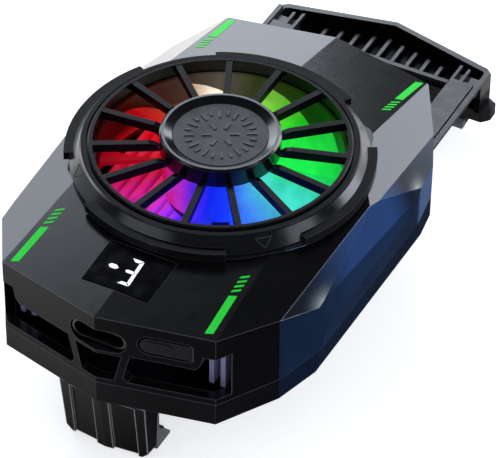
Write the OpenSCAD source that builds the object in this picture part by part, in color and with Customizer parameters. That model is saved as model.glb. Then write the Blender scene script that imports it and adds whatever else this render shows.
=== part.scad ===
// Clip-on phone cooler: a fan blows through a heat sink that a thermoelectric module warms,
// while the module's cold side chills the phone held between a fixed leg and a sliding clamp.
// Millimetres. Z is up, the fan axis is x = y = 0, the cold pad's face is z = 0, the clamp is at +Y.

/* [Housing plan] */
// Fan axis to the middle of the front edge
front_reach = 38.8; // [37.5:0.1:42]
// Half the width between the front corners
front_corner_x = 17.9; // [16.5:0.1:19.5]
// Fan axis to the front corners, along Y
front_corner_y = 34.8; // [33.5:0.1:36]
// Half width at the front shoulders
front_shoulder_x = 23.6; // [23:0.1:24.5]
// Fan axis to the front shoulders, along Y
front_shoulder_y = 25.5; // [24:0.1:27]
// Half width at the front end of the side crease
crease_front_x = 26.5; // [26:0.1:27.2]
// Fan axis to the front end of the side crease, along Y
crease_front_y = 15.5; // [14:0.1:17]
// Half width at the rear end of the side crease
crease_rear_x = 26.9; // [26.5:0.1:28]
// Fan axis to the rear end of the side crease, along Y
crease_rear_y = 13.5; // [12:0.1:15]
// Half width at the rear flanks
flank_x = 25.6; // [25:0.1:26.2]
// Fan axis to the rear flanks, along Y
flank_y = 22.5; // [21:0.1:24]
// Half width at the rear shoulders
rear_shoulder_x = 23.4; // [22.8:0.1:24]
// Fan axis to the rear shoulders, along Y
rear_shoulder_y = 27.1; // [26.5:0.1:28]
// Half the width between the rear corners
rear_corner_x = 18.2; // [17.5:0.1:19]
// Fan axis to the rear corners, along Y
rear_corner_y = 36; // [35.5:0.1:37]
// Fan axis to the middle of the rear edge
rear_reach = 39.6; // [38.6:0.1:41]

/* [Housing heights] */
// Underside of the housing above the cold pad's face
base_gap = 0.5; // [0.3:0.1:0.8]
// Height of the seam between the covers
seam_z = 4.4; // [4.2:0.1:4.8]
// Top of the front edge at its middle
front_edge_z = 17.5; // [16.8:0.1:18]
// Top of the front corners
front_corner_z = 17.3; // [16.6:0.1:17.6]
// Top of the front shoulders
front_shoulder_z = 16.3; // [15.8:0.1:16.6]
// Height of the roof crease beside the front of the fan
roof_front_z = 18.9; // [18.6:0.1:19.2]
// Height of the roof crease beside the rear of the fan
roof_rear_z = 19.2; // [18.8:0.1:19.4]
// Top of the rear edge at its middle
rear_edge_z = 14.7; // [14.4:0.1:15.2]
// Top of the rear corners
rear_corner_z = 14.6; // [14.2:0.1:15]
// Top of the rear shoulders
rear_shoulder_z = 12.7; // [12.4:0.1:13.2]
// Height of the side crease
side_crease_z = 8.5; // [7:0.1:9.5]
// How far the lower sides lean in
side_lean = 0.65; // [0.3:0.05:1]
// Wall thickness of the covers
wall = 1.6; // [1.4:0.05:1.8]
// Thickness of the bottom cover's floor
floor_t = 0.7; // [0.6:0.05:0.8]

/* [Fan opening] */
// Radius of the grille's clear opening
open_r = 19.5; // [19.2:0.1:19.8]
// Height of the grille's top
open_z = 22.3; // [22:0.1:23]
// Width of the grille's rim
grille_rim_w = 0.7; // [0.5:0.05:0.9]
// Outer radius of the fan collar on the top cover
collar_r = 23; // [22.8:0.1:23.4]
// Height of the collar's top
collar_z = 19; // [18.9:0.1:19.4]
// Radius of the bezel's flange tabs
tab_r = 23.9; // [23.6:0.1:24.2]
// Angle that each flange tab spans
tab_angle = 60; // [40:1:70]
// Number of spokes
spokes = 15; // [9:1:21]
// Width of a spoke
spoke_w = 0.95; // [0.7:0.05:1.3]
// Depth of a spoke
spoke_h = 1.6; // [1.2:0.1:1.8]
// Radius of the grille's hub
puck_r = 9.3; // [8.8:0.1:10]
// Height of the hub's rim
puck_z = 24.1; // [23.7:0.1:24.6]
// Radius of the hub's inlaid disc
disc_r = 7.3; // [6.5:0.1:7.8]

/* [Fan] */
// Number of blades
blades = 9; // [5:1:11]
// Radius of the blade tips
blade_r = 18.4; // [17.6:0.1:18.5]
// Radius of the impeller's hub
rotor_r = 8.8; // [8.6:0.1:9]
// Radius of the shaft
shaft_r = 1; // [0.9:0.05:1.1]
// Running clearance of the shaft in its bearing
shaft_gap = 0.04; // [0.02:0.01:0.08]
// Thickness of the bearing sleeve
sleeve_t = 0.9; // [0.8:0.05:1]
// Number of stator poles
poles = 6; // [4:1:8]
// Number of light diodes
diodes = 8; // [4:4:12]

/* [Cooling stack] */
// Width of the cold pad
pad_x = 26; // [24:0.5:27]
// Length of the cold pad
pad_y = 33; // [30:0.5:34]
// Thickness of the cold pad
pad_t = 0.3; // [0.2:0.05:0.4]
// Thickness of the cold plate's flange
plate_t = 0.8; // [0.6:0.1:1]
// Side of the square thermoelectric module
module_side = 25; // [22:0.5:26]
// Thickness of each ceramic
ceramic_t = 0.7; // [0.5:0.05:0.8]
// Height of the pellets between the ceramics
pellet_h = 1.2; // [1:0.1:1.3]
// Number of pellets along a side
pellets = 7; // [4:1:8]
// Half width of the heat sink
sink_x = 18.4; // [17.5:0.1:18.6]
// Half length of the heat sink's base
sink_y = 24; // [22:0.5:24.5]
// Thickness of the heat sink's base
sink_t = 1.6; // [1.2:0.1:2]
// Distance between the heat sink's fins
fin_pitch = 1.9; // [1.7:0.1:2.4]
// Thickness of a fin
fin_t = 0.8; // [0.6:0.05:1]
// Top of the fins, where the fan frame sits
fin_z = 11.8; // [11.4:0.1:12]

/* [Front panel] */
// Width of the charging inlet's recess
inlet_w = 9.4; // [9.2:0.1:10]
// Height of the charging inlet's recess
inlet_h = 4; // [3.8:0.1:4.2]
// Height of the inlet's middle
inlet_z = 13; // [12.9:0.1:13.2]
// Length of the push tongue
tongue_l = 7.6; // [7:0.1:8]
// Height of the push tongue
tongue_h = 2.7; // [2.4:0.1:3]
// Slot round the push tongue
tongue_gap = 0.4; // [0.3:0.05:0.5]
// How far the tongue turns when pushed
tongue_turn = 4.5; // [3:0.1:4.5]
// Width of the display window
window_x = 11; // [10:0.1:11.4]
// Length of the display window
window_y = 8.7; // [8:0.1:8.8]

/* [Clamp] */
// How far the clamp slides in
travel = 18; // [12:0.5:18.5]
// Outer half width of the clamp's arms
arm_x = 19.7; // [19.3:0.1:19.9]
// Width of an arm
arm_w = 5.2; // [4.6:0.1:5.3]
// Thickness of the arms' plates
arm_t = 0.6; // [0.5:0.05:0.8]
// Rear jaw's face to the middle of the clamp's outer wall
wall_depth = 8.7; // [8:0.1:10]
// How far the ends of the outer wall lie back from its middle
clamp_sweep = 4.2; // [3:0.1:5]
// Thickness of the outer wall
clamp_t = 1; // [0.9:0.05:1.4]
// Distance between the comb's ribs
comb_pitch = 2.7; // [2.2:0.1:3.2]
// Thickness of a comb rib
rib_t = 0.6; // [0.5:0.05:0.9]
// Fan axis to the rear jaw's face
rear_jaw_y = 55; // [54.8:0.1:56]
// Front edge to the front jaw's face
leg_depth = 6.2; // [5.8:0.1:6.6]
// Depth of the rear jaw under the cold pad's face
jaw_depth = 8.6; // [8.4:0.1:10]
// Depth of the leg under the cold pad's face
leg_drop = 11; // [10:0.1:12]
// Room for the phone between the cold pad and the jaws' lips
phone_t = 7; // [6.6:0.1:7.2]
// Half width of the leg at its top
leg_x = 7.3; // [6.8:0.1:8]
// Half width of the leg at its foot
leg_foot_x = 6.9; // [6.4:0.1:7.4]

/* [Springs] */
// Mean radius of the clamp springs
spring_r = 1.1; // [0.9:0.05:1.2]
// Diameter of the spring wire
wire_d = 0.42; // [0.3:0.02:0.44]
// Number of turns
turns = 12; // [8:1:12]

/* [Screws] */
// Radius of the cover screws
screw_r = 0.75; // [0.6:0.05:0.8]
// Radius of the screw heads
head_r = 1.4; // [1.2:0.05:1.5]
// Height of the screw heads
head_h = 0.45; // [0.4:0.05:0.5]

/* [Hidden] */
$fn = 64;

// Small distances that recur
slip = 0.1;
fit_gap = 0.05;
far = 200;

// Housing corners on the +X side
floor_z = base_gap + floor_t;
front_edge = [0, -front_reach, front_edge_z];
front_corner = [front_corner_x, -front_corner_y, front_corner_z];
front_shoulder = [front_shoulder_x, -front_shoulder_y, front_shoulder_z];
roof_front = [16.8, -14.35, roof_front_z];
roof_rear = [18.1, 15.7, roof_rear_z];
rear_edge = [0, rear_reach, rear_edge_z];
rear_corner = [rear_corner_x, rear_corner_y, rear_corner_z];
rear_shoulder = [rear_shoulder_x, rear_shoulder_y, rear_shoulder_z];
// The rear crease meets the rear edge just beside the corner
rear_crease_x = rear_corner_x - 0.3;
rear_crease_y = rear_reach - (rear_reach - rear_corner_y) * rear_crease_x / rear_corner_x;
rear_crease = [rear_crease_x, rear_crease_y, plane_z([rear_edge, rear_corner, roof_rear], rear_crease_x, rear_crease_y)];
side_peak = [24.5, 2.8, 17.85];
bevel_front = [crease_front_x - 0.6, -crease_front_y - 0.4, 13.5];
bevel_rear = [crease_rear_x - 0.6, crease_rear_y + 1.8, 11.7];
crease_front = [crease_front_x, -crease_front_y, side_crease_z];
crease_rear = [crease_rear_x, crease_rear_y, side_crease_z];
side_foot = [crease_front_x - side_lean, -crease_front_y, base_gap];

half_plan = [[front_corner_x, -front_corner_y], [front_shoulder_x, -front_shoulder_y],
    [crease_front_x, -crease_front_y], [crease_rear_x, crease_rear_y], [flank_x, flank_y],
    [rear_shoulder_x, rear_shoulder_y], [rear_corner_x, rear_corner_y]];
plan = concat([[0, -front_reach]], half_plan, [[0, rear_reach]],
    [for (i = [len(half_plan) - 1:-1:0]) [-half_plan[i].x, half_plan[i].y]]);
facets = [[front_edge, front_corner, roof_front], [front_corner, front_shoulder, roof_front],
    [rear_edge, rear_corner, roof_rear], [rear_crease, rear_shoulder, roof_rear],
    [front_shoulder, bevel_front, side_peak], [bevel_front, bevel_rear, side_peak],
    [bevel_rear, rear_shoulder, side_peak], [crease_front, crease_rear, bevel_front],
    [crease_front, crease_rear, side_foot]];

// Roof along its ridge, in front of the fan
front_slope = ridge_slope(front_edge, front_corner, roof_front);
front_roof_angle = atan(front_slope);

// Fan stack, from the outside in
grille_r = open_r + grille_rim_w;
bezel_bore_r = grille_r + fit_gap;
spigot_r = bezel_bore_r + 1.05;
collar_bore_r = spigot_r + fit_gap;
collar_foot_z = 14.9;
guide_r = grille_r;
guide_bore_r = guide_r - 1.2;
frame_z = fin_z;
frame_t = 1;
deck_z = frame_z + frame_t;
guide_top_z = open_z - 2.4;
disc_recess = 1.5;
disc_t = 0.8;
spoke_fade = 1.6;
rotor_top_z = guide_top_z - 0.2;
rotor_low_z = deck_z + 0.6;
rotor_wall = 0.8;
rotor_bore_r = rotor_r - rotor_wall;
sleeve_r = shaft_r + shaft_gap + sleeve_t;
tube_r = sleeve_r + fit_gap + 0.6;
tube_top_z = rotor_top_z - rotor_wall - 0.5;
magnet_t = 1;
magnet_bore_r = rotor_bore_r - magnet_t - fit_gap;
stator_r = magnet_bore_r - 0.5;
pole_angle = 15;
board_t = 0.6;
light_board_t = 0.8;
light_board_r = collar_r - 0.7;
frame_screw_r = 0.5;
frame_screw_ring = (collar_bore_r + collar_r) / 2;
frame_screw_angles = [45, 135, 225, 315];
frame_screw_l = collar_foot_z + 1.9 - frame_z;
frame_head_r = 0.9;
frame_head_h = 0.5;
lug_r = 1.3;
strut_w = 2.4;
strut_lap = 1.5;
pole_w = 1;
coil_w = 1.9;

// Clamp arms, which slide on the floor
arm_inner = arm_x - arm_w;
arm_z = floor_z + slip;
arm_top_z = arm_z + arm_t;
slot_top_z = arm_top_z + 0.3;
arm_step = 0.4;
guide_y = 14;
guide_l = 16;
guide_t = 0.8;
keel_low_z = base_gap + slip;

// Cooling stack, from the phone up
plate_low_z = pad_t;
flange_z = floor_z;
plate_top_z = flange_z + plate_t;
cold_top_z = plate_top_z + ceramic_t;
hot_low_z = cold_top_z + pellet_h;
sink_z = hot_low_z + ceramic_t;
sink_top_z = sink_z + sink_t;
flange_x = arm_inner - 0.3;
flange_y = pad_y / 2 + 1.5;
long_fin_x = 13.8;
long_fin_y = 31;

// Front panel
panel_angle = atan2(front_reach - front_corner_y, front_corner_x);
tongue_z = inlet_z + 0.8;
tongue_root = 14.5;
tongue_t = 1;
root_r = tongue_t * 0.8;
root_gap = 0.08;
board_low_t = 1;
board_z = inlet_z - 1.63 - board_low_t;
board_top_z = board_z + board_low_t;
board_half_w = 13;
display_t = 0.9;
socket_blade_w = 6.6;
socket_blade_t = 0.7;
board_rear_y = 25.2;
window_t = 1;
window_mid_y = -(tab_r + 0.2 + window_y / 2);
window_mid_z = front_edge_z + front_slope * (window_mid_y + front_reach);
post_places = [[-10.4, -27.6], [10.4, -27.6]];

// Clamp
arm_front_y = 4;
clamp_reach = rear_jaw_y + wall_depth;
plate_end_y = rear_jaw_y - 1.2;
bar_y = rear_jaw_y;
bar_t = 0.8;
bar_x = 13.2;
wall_top_z = arm_z;
wall_low_z = -4.2;
comb_top_z = -0.5;
base_top_z = -1.5;
base_low_z = -2.1;
comb_ribs = 9;
comb_gap = 1.6;
side_rib_x = [arm_inner, arm_inner + 1.6, arm_inner + 3.7];
rail_w = 0.8;
groove_w = 0.35;
groove_d = 0.3;
wall_end_x = arm_x - 1.1;
wall_end_y = clamp_reach - clamp_sweep;
wall_side_y = wall_end_y - 1;
wall_root_y = plate_end_y + 0.6;
tail_y = rear_jaw_y + 1.4;
lip_top_z = -phone_t;
lip_reach = 1;
lip_fall = 1.2;
lip_x = 17;
core_x = 17.2;
jaw_end_x = arm_x + 1.3;

// Leg, whose rear flanks flare out a little
front_jaw_y = front_reach - leg_depth;
leg_foot_z = -leg_drop;
leg_top_y = front_reach - 0.8;
leg_edge_y = front_reach - 1.6;
leg_flare = 0.4;
leg_rake = 1.3;
leg_chamfer = 0.8;
ridge_half_w = 1.4;
flute_d = 0.45;
jaw_pad_t = 1;
jaw_pad_top_z = -0.8;
toe_x = 6;
toe_reach = 1.6;
wedge_reach = 3.2;

// Clamp springs lie beside the arms
spring_x = arm_x + 2.6;
spring_z = arm_z + 1.6;
spring_rear_y = 5;
spring_front_y = -19;
anchor_t = 1.2;
anchor_w = 2.8;
anchor_top_z = seam_z - 0.1;

// Screws
cover_screw_places = [[-20.7, -22.5], [20.7, -22.5], [-10.5, 32], [10.5, 32]];
cover_screw_l = 8;
cover_boss_r = 1.8;
boss_low_z = seam_z + 0.2;
leg_screw_x = 4.5;
leg_screw_l = 4;
leg_head_r = 1;
leg_screw_y = front_reach - (leg_screw_x + leg_head_r) * tan(panel_angle) - wall / cos(panel_angle) - leg_head_r - slip;
leg_screw_places = [[-leg_screw_x, -leg_screw_y], [leg_screw_x, -leg_screw_y]];

// Slope along Y of the plane through three points
function ridge_slope(a, b, c) = let (n = cross(b - a, c - a)) -n.y / n.z;
function unit(v) = v / norm(v);
// Height of a sloping plane through three points, over one place
function plane_z(p, x, y) = let (n = cross(p[1] - p[0], p[2] - p[0]))
    p[0].z - (n.x * (x - p[0].x) + n.y * (y - p[0].y)) / n.z;
// A convex outline, anticlockwise, with every edge moved in by t
function inset_plan(p, t) = [for (i = [0:len(p) - 1]) let (
    before = p[(i + len(p) - 1) % len(p)],
    after = p[(i + 1) % len(p)],
    d = unit(p[i] - before),
    e = unit(after - p[i]),
    m = [-d.y, d.x],
    n = [-e.y, e.x]) p[i] + t / (1 + m * n) * (m + n)];

// Everything outside the plane through three points, moved in by t
module beyond(p, t) {
    raw = unit(cross(p[1] - p[0], p[2] - p[0]));
    inner = [0, 0, side_crease_z];
    n = raw * (inner - p[0]) > 0 ? -raw : raw;
    u = unit(p[1] - p[0]);
    v = cross(n, u);
    o = p[0] - t * n;
    multmatrix([[u.x, v.x, n.x, o.x], [u.y, v.y, n.y, o.y], [u.z, v.z, n.z, o.z], [0, 0, 0, 1]])
        translate([-far / 2, -far / 2, 0]) cube([far, far, far / 4]);
}

module both_sides() {
    children();
    mirror([1, 0, 0]) children();
}

// The faceted housing between two heights, with every face moved in by t
module housing(t, low, high) {
    difference() {
        translate([0, 0, low]) linear_extrude(high - low) polygon(inset_plan(plan, t));
        both_sides() for (f = facets) beyond(f, t);
    }
}

module ring(r, bore, low, high) {
    difference() {
        translate([0, 0, low]) cylinder(r = r, h = high - low);
        translate([0, 0, low - 1]) cylinder(r = bore, h = high - low + 2);
    }
}

module block(x, y, low, high) {
    translate([-x / 2, -y / 2, low]) cube([x, y, high - low]);
}

// A span of the front view, cut from in front of the housing back to y
module from_front(y) {
    translate([0, y, 0]) rotate([90, 0, 0]) linear_extrude(far / 4) children();
}

module stadium(w, h) {
    square([w - h, h], center = true);
    for (s = [-1, 1]) translate([s * (w - h) / 2, 0]) circle(d = h);
}

// Frame of the front right panel: x along the panel, y inward
module on_panel() {
    translate([0, -front_reach, 0]) rotate([0, 0, panel_angle]) children();
}

// Frame of the roof in front of the fan
module on_roof() {
    translate([0, window_mid_y, window_mid_z]) rotate([front_roof_angle, 0, 0]) children();
}

module vent_shape() {
    low = seam_z + 1.1;
    mid = inlet_z - inlet_h / 2 - 0.15;
    high = mid + 2.7;
    corner = front_corner_x;
    end = front_corner_x + 1.4;
    polygon([[4.1, low + 0.9], [4.8, low], [end, low], [end, high], [corner - 1.9, high],
        [corner - 2.3, mid + 0.8], [corner - 3, mid], [5.2, mid]]);
}

module tongue_shape(grow) {
    tip = tongue_root - tongue_l;
    h = tongue_h + 2 * grow;
    translate([tip - grow + h / 2, -h / 2]) square([tongue_l - tongue_h / 2, h]);
    translate([tip - grow + h / 2, 0]) circle(d = h);
}

module top_cover() {
    color("#2b2c30") difference() {
        union() {
            difference() {
                housing(0, seam_z, far / 4);
                housing(wall, 0, far / 4);
            }
            ring(collar_r, collar_bore_r, collar_foot_z, collar_z);
            intersection() {
                housing(wall / 2, boss_low_z, far / 4);
                for (p = cover_screw_places) translate([p.x, p.y, boss_low_z])
                    cylinder(r = cover_boss_r, h = far / 4);
            }
        }
        translate([0, 0, seam_z]) cylinder(r = collar_bore_r, h = far / 4);
        translate([0, 0, collar_z]) cylinder(r = tab_r + slip, h = far / 4);
        for (p = cover_screw_places) translate([p.x, p.y, 0])
            cylinder(r = screw_r + fit_gap, h = cover_screw_l + base_gap + 0.6);
        for (a = frame_screw_angles) rotate(a) translate([frame_screw_ring, 0, 0])
            cylinder(r = frame_screw_r + fit_gap, h = collar_foot_z + 2.6);
        from_front(-front_corner_y + 6) translate([0, inlet_z]) stadium(inlet_w, inlet_h);
        from_front(-front_corner_y + 6) polygon([[-2.7, seam_z + 1], [2.7, seam_z + 1],
            [3.9, inlet_z - inlet_h / 2 - 0.5], [-3.9, inlet_z - inlet_h / 2 - 0.5]]);
        both_sides() from_front(-front_corner_y + 6) vent_shape();
        on_panel() translate([0, 3, tongue_z]) rotate([90, 0, 0]) linear_extrude(6) tongue_shape(tongue_gap);
        on_panel() translate([tongue_root, root_r, tongue_z - tongue_h / 2 - root_gap])
            cylinder(r = root_r + root_gap, h = tongue_h + 2 * root_gap);
        on_roof() {
            translate([0, 0, 2]) cube([window_x + 2 * slip, window_y + 2 * slip, 2 * (window_t + 2)], center = true);
            cube([window_x - 1.2, window_y - 1.2, far / 20], center = true);
        }
    }
}

module rails() {
    rail_x = arm_x + 2 * slip;
    lip_z = slot_top_z - 0.15;
    both_sides() translate([0, guide_y, 0]) {
        translate([rail_x, 0, base_gap]) cube([guide_t, guide_l, lip_z + guide_t - base_gap]);
        translate([rail_x - guide_t, 0, lip_z]) cube([2 * guide_t, guide_l, guide_t]);
    }
}

module bottom_cover() {
    color("#202125") difference() {
        union() {
            difference() {
                housing(0, base_gap, seam_z);
                housing(wall, floor_z, far / 4);
            }
            rails();
            both_sides() translate([spring_x - anchor_w / 2, spring_front_y - anchor_t, base_gap])
                cube([anchor_w, anchor_t, anchor_top_z - base_gap]);
            for (p = post_places) translate([p.x, p.y, base_gap]) cylinder(r = 1.4, h = board_z - base_gap);
            for (p = cover_screw_places) translate([p.x, p.y, base_gap])
                cylinder(r = cover_boss_r, h = boss_low_z - base_gap);
        }
        block(pad_x + 2 * fit_gap, pad_y + 2 * fit_gap, -1, floor_z + 1);
        both_sides() {
            translate([arm_inner - slip, flank_y, floor_z]) cube([arm_w + 2 * slip, far / 8, slot_top_z - floor_z]);
            translate([arm_inner + arm_step - slip, arm_front_y - travel - 0.6, -1])
                cube([arm_w - 2 * arm_step + 2 * slip, far / 2, floor_z + arm_step + 1]);
        }
        for (p = cover_screw_places) translate([p.x, p.y, 0]) {
            cylinder(r = screw_r + fit_gap, h = far / 8);
            cylinder(r = head_r + fit_gap, h = base_gap + head_h);
        }
        for (p = leg_screw_places) translate([p.x, p.y, 0]) cylinder(r = screw_r + fit_gap, h = far / 8);
    }
}

module bezel_ring() {
    color("#101114") difference() {
        union() {
            rotate_extrude() polygon([[bezel_bore_r, collar_z - 1.4], [spigot_r, collar_z - 1.4],
                [spigot_r, collar_z], [collar_r + 0.05, collar_z], [collar_r + 0.05, collar_z + 0.6],
                [grille_r + 1.25, open_z - 0.75], [grille_r + 1.05, open_z - 0.4], [grille_r + 0.4, open_z - 0.4],
                [grille_r + 0.4, open_z - 0.9], [bezel_bore_r, open_z - 0.9]]);
            translate([0, 0, collar_z]) linear_extrude(1.4) intersection() {
                difference() {
                    circle(tab_r);
                    circle(collar_r - 1);
                }
                for (a = [0:90:270]) rotate(a) polygon([[0, 0], [far * cos(tab_angle / 2), -far * sin(tab_angle / 2)],
                    [far * cos(tab_angle / 2), far * sin(tab_angle / 2)]]);
            }
        }
    }
}

module spoke() {
    low = open_z - spoke_h;
    rotate([90, 0, 0]) translate([0, 0, -spoke_w / 2]) linear_extrude(spoke_w)
        polygon([[puck_r - 0.6, low], [open_r + grille_rim_w / 2, low], [open_r + grille_rim_w / 2, open_z - 0.1],
            [puck_r + spoke_fade, open_z - 0.1], [puck_r + 0.6, open_z - 0.35], [puck_r, open_z - 0.9],
            [puck_r - 0.6, open_z - 0.9]]);
}

module fan_grille() {
    low = open_z - spoke_h - 0.2;
    color("#18191c") {
        rotate_extrude() polygon([[open_r, guide_top_z], [grille_r, guide_top_z], [grille_r, open_z - 0.2],
            [grille_r - 0.2, open_z], [open_r, open_z]]);
        for (i = [0:spokes - 1]) rotate(90 + i * 360 / spokes) spoke();
        rotate_extrude() polygon([[0, low], [puck_r - 0.4, low], [puck_r, low + 0.4], [puck_r, puck_z - 0.3],
            [puck_r - 0.3, puck_z], [puck_r - 0.7, puck_z], [disc_r + slip, puck_z - 0.75],
            [disc_r + slip, puck_z - disc_recess], [0, puck_z - disc_recess]]);
    }
}

module hub_disc() {
    color("#3a3b40") translate([0, 0, puck_z - disc_recess]) cylinder(r = disc_r, h = disc_t);
}

// One blade: chord sections set along the radius, each turned less than the one inside it
blade_steps = 5;
chord_steps = 4;
blade_t = 0.55;
blade_root_pitch = 46;
blade_tip_pitch = 27;
blade_mid_z = (rotor_low_z + rotor_top_z) / 2;
function blade_r_at(i) = rotor_r - 0.3 + (blade_r - rotor_r + 0.3) * i / blade_steps;
function blade_pitch(i) = blade_root_pitch + (blade_tip_pitch - blade_root_pitch) * i / blade_steps;
function blade_chord(i) = 6 + 3 * i / blade_steps;
function blade_point(i, j, face) = let (
    s = j / chord_steps - 0.5,
    c = blade_chord(i),
    arc = 0.5 * (1 - 4 * s * s) + face * blade_t / 2,
    a = blade_pitch(i),
    along = c * s * cos(a) - arc * sin(a),
    rise = c * s * sin(a) + arc * cos(a),
    t = along / blade_r_at(i) * 180 / PI)
    [blade_r_at(i) * cos(t), blade_r_at(i) * sin(t), blade_mid_z + rise];

module blade() {
    around = 2 * (chord_steps + 1);
    points = [for (i = [0:blade_steps], k = [0:around - 1])
        k <= chord_steps ? blade_point(i, k, -1) : blade_point(i, around - 1 - k, 1)];
    sides = [for (i = [0:blade_steps - 1], k = [0:around - 1]) let (
        a = i * around + k,
        b = i * around + (k + 1) % around)
        each [[a, a + around, b], [b, a + around, b + around]]];
    last = blade_steps * around;
    ends = [for (k = [0:chord_steps - 1]) each [
        [k, k + 1, around - 1 - k], [k + 1, around - 2 - k, around - 1 - k],
        [last + k + 1, last + k, last + around - 1 - k], [last + around - 2 - k, last + k + 1, last + around - 1 - k]]];
    polyhedron(points = points, faces = concat(sides, ends));
}

module fan_impeller() {
    color("#8f96a8") {
        for (i = [0:blades - 1]) rotate(i * 360 / blades) blade();
        difference() {
            translate([0, 0, rotor_low_z]) cylinder(r = rotor_r, h = rotor_top_z - rotor_low_z);
            translate([0, 0, rotor_low_z - 1]) cylinder(r = rotor_bore_r, h = rotor_top_z - rotor_wall - rotor_low_z + 1);
            translate([0, 0, rotor_low_z]) cylinder(r = shaft_r, h = far / 8);
        }
    }
}

module rotor_magnet() {
    color("#4b4f55") ring(rotor_bore_r - fit_gap, magnet_bore_r, rotor_low_z + 0.3, rotor_top_z - rotor_wall);
}

module rotor_shaft() {
    color("#c9ccd2") translate([0, 0, deck_z + 0.2]) cylinder(r = shaft_r, h = rotor_top_z - deck_z - 0.2);
}

module bearing_sleeve() {
    color("#b98a4a") ring(sleeve_r, shaft_r + shaft_gap, deck_z, tube_top_z);
}

module fan_frame() {
    color("#17181b") difference() {
        union() {
            translate([0, 0, frame_z]) linear_extrude(frame_t) {
                difference() {
                    circle(light_board_r);
                    circle(guide_bore_r);
                }
                for (a = [30:120:270]) rotate(a) translate([rotor_r - strut_lap, -strut_w / 2])
                    square([guide_bore_r - rotor_r + strut_lap + 0.5, strut_w]);
                circle(rotor_r - 0.6);
            }
            for (a = frame_screw_angles) rotate(a) translate([frame_screw_ring, 0, frame_z + frame_t / 3])
                cylinder(r = lug_r, h = collar_foot_z - frame_z - frame_t / 3);
            translate([0, 0, frame_z]) cylinder(r = tube_r, h = tube_top_z - frame_z);
        }
        for (a = frame_screw_angles) rotate(a) translate([frame_screw_ring, 0, 0]) {
            cylinder(r = frame_screw_r + fit_gap, h = far / 8);
            cylinder(r = frame_head_r + fit_gap, h = frame_z + frame_head_h + fit_gap);
        }
        translate([0, 0, deck_z]) cylinder(r = sleeve_r + fit_gap, h = far / 8);
    }
}

// Pole arms with curved shoes on a hub that grips the bearing tube
module stator_core() {
    low = deck_z + board_t + 1;
    high = tube_top_z - 0.9;
    color("#8b8f94") translate([0, 0, low]) linear_extrude(high - low) rotate(pole_angle) difference() {
        union() {
            circle(tube_r + 0.9);
            for (i = [0:poles - 1]) rotate(i * 360 / poles) translate([tube_r, -pole_w / 2])
                square([stator_r - tube_r - 0.35, pole_w]);
            intersection() {
                difference() {
                    circle(stator_r);
                    circle(stator_r - 0.7);
                }
                for (i = [0:poles - 1]) rotate(i * 360 / poles) translate([tube_r, -11.4 / poles])
                    square([stator_r, 22.8 / poles]);
            }
        }
        circle(tube_r + fit_gap);
    }
}

module stator_coils() {
    low = deck_z + board_t + 1;
    high = tube_top_z - 0.9;
    coil_in = tube_r + 1.05;
    coil_out = stator_r - 0.85;
    color("#b5652d") for (i = [0:poles - 1]) rotate(pole_angle + i * 360 / poles) difference() {
        translate([coil_in, -coil_w / 2, low - 0.45]) cube([coil_out - coil_in, coil_w, high - low + 0.9]);
        translate([coil_in - 1, -pole_w / 2 - fit_gap, low - fit_gap])
            cube([far / 8, pole_w + 2 * fit_gap, high - low + 2 * fit_gap]);
    }
}

module motor_board() {
    color("#1f5a38") ring(rotor_r - 1.6, tube_r + slip, deck_z, deck_z + board_t);
}

module light_guide() {
    color("#e8ecf4", 0.7) ring(guide_r, guide_bore_r, deck_z, guide_top_z);
}

module light_board() {
    color("#e9e9e6") difference() {
        ring(light_board_r, guide_r + 0.2, deck_z, deck_z + light_board_t);
        for (a = frame_screw_angles) rotate(a) translate([frame_screw_ring, 0, 0]) cylinder(r = lug_r + slip, h = far / 8);
    }
}

module light_diodes() {
    color("#f7f7f2") for (i = [0:diodes - 1]) rotate((i + 0.5) * 360 / diodes)
        translate([guide_r + 0.25, -0.8, deck_z + light_board_t]) cube([1.4, 1.6, 0.9]);
}

module heat_sink() {
    fins = floor((sink_x - fin_t / 2) / fin_pitch);
    color("#a9abc9") {
        block(2 * sink_x, 2 * sink_y, sink_z, sink_top_z);
        for (i = [-fins:fins]) let (reach = abs(i) * fin_pitch > long_fin_x ? long_fin_y : sink_y)
            translate([i * fin_pitch - fin_t / 2, -reach, sink_z]) cube([fin_t, reach + sink_y, fin_z - sink_z]);
    }
}

module hot_ceramic() {
    color("#f2f1ec") block(module_side, module_side, hot_low_z, sink_z);
}

module module_pellets() {
    pitch = module_side / pellets;
    side = pitch * 0.55;
    color("#9a9ca3") for (i = [0:pellets - 1], j = [0:pellets - 1])
        translate([(i + 0.5) * pitch - module_side / 2, (j + 0.5) * pitch - module_side / 2, 0])
            block(side, side, cold_top_z, hot_low_z);
}

module cold_ceramic() {
    color("#f2f1ec") block(module_side, module_side, plate_top_z, cold_top_z);
}

module foam_seal() {
    color("#3b3b3b") difference() {
        block(2 * flange_x, 2 * flange_y, plate_top_z, sink_z);
        block(module_side + 2 * slip, module_side + 2 * slip, plate_top_z - 1, sink_z + 1);
    }
}

module cold_plate() {
    color("#c4c7cb") {
        block(pad_x, pad_y, plate_low_z, flange_z);
        block(2 * flange_x, 2 * flange_y, flange_z, plate_top_z);
    }
}

module cold_pad() {
    color("#8f9399") block(pad_x, pad_y, 0, pad_t);
}

module control_board() {
    color("#1f5a38") intersection() {
        translate([0, 0, board_z]) linear_extrude(board_low_t) polygon(inset_plan(plan, wall + 0.5));
        translate([-board_half_w, -front_reach, board_z])
            cube([2 * board_half_w, front_reach - board_rear_y, board_low_t]);
    }
}

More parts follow.
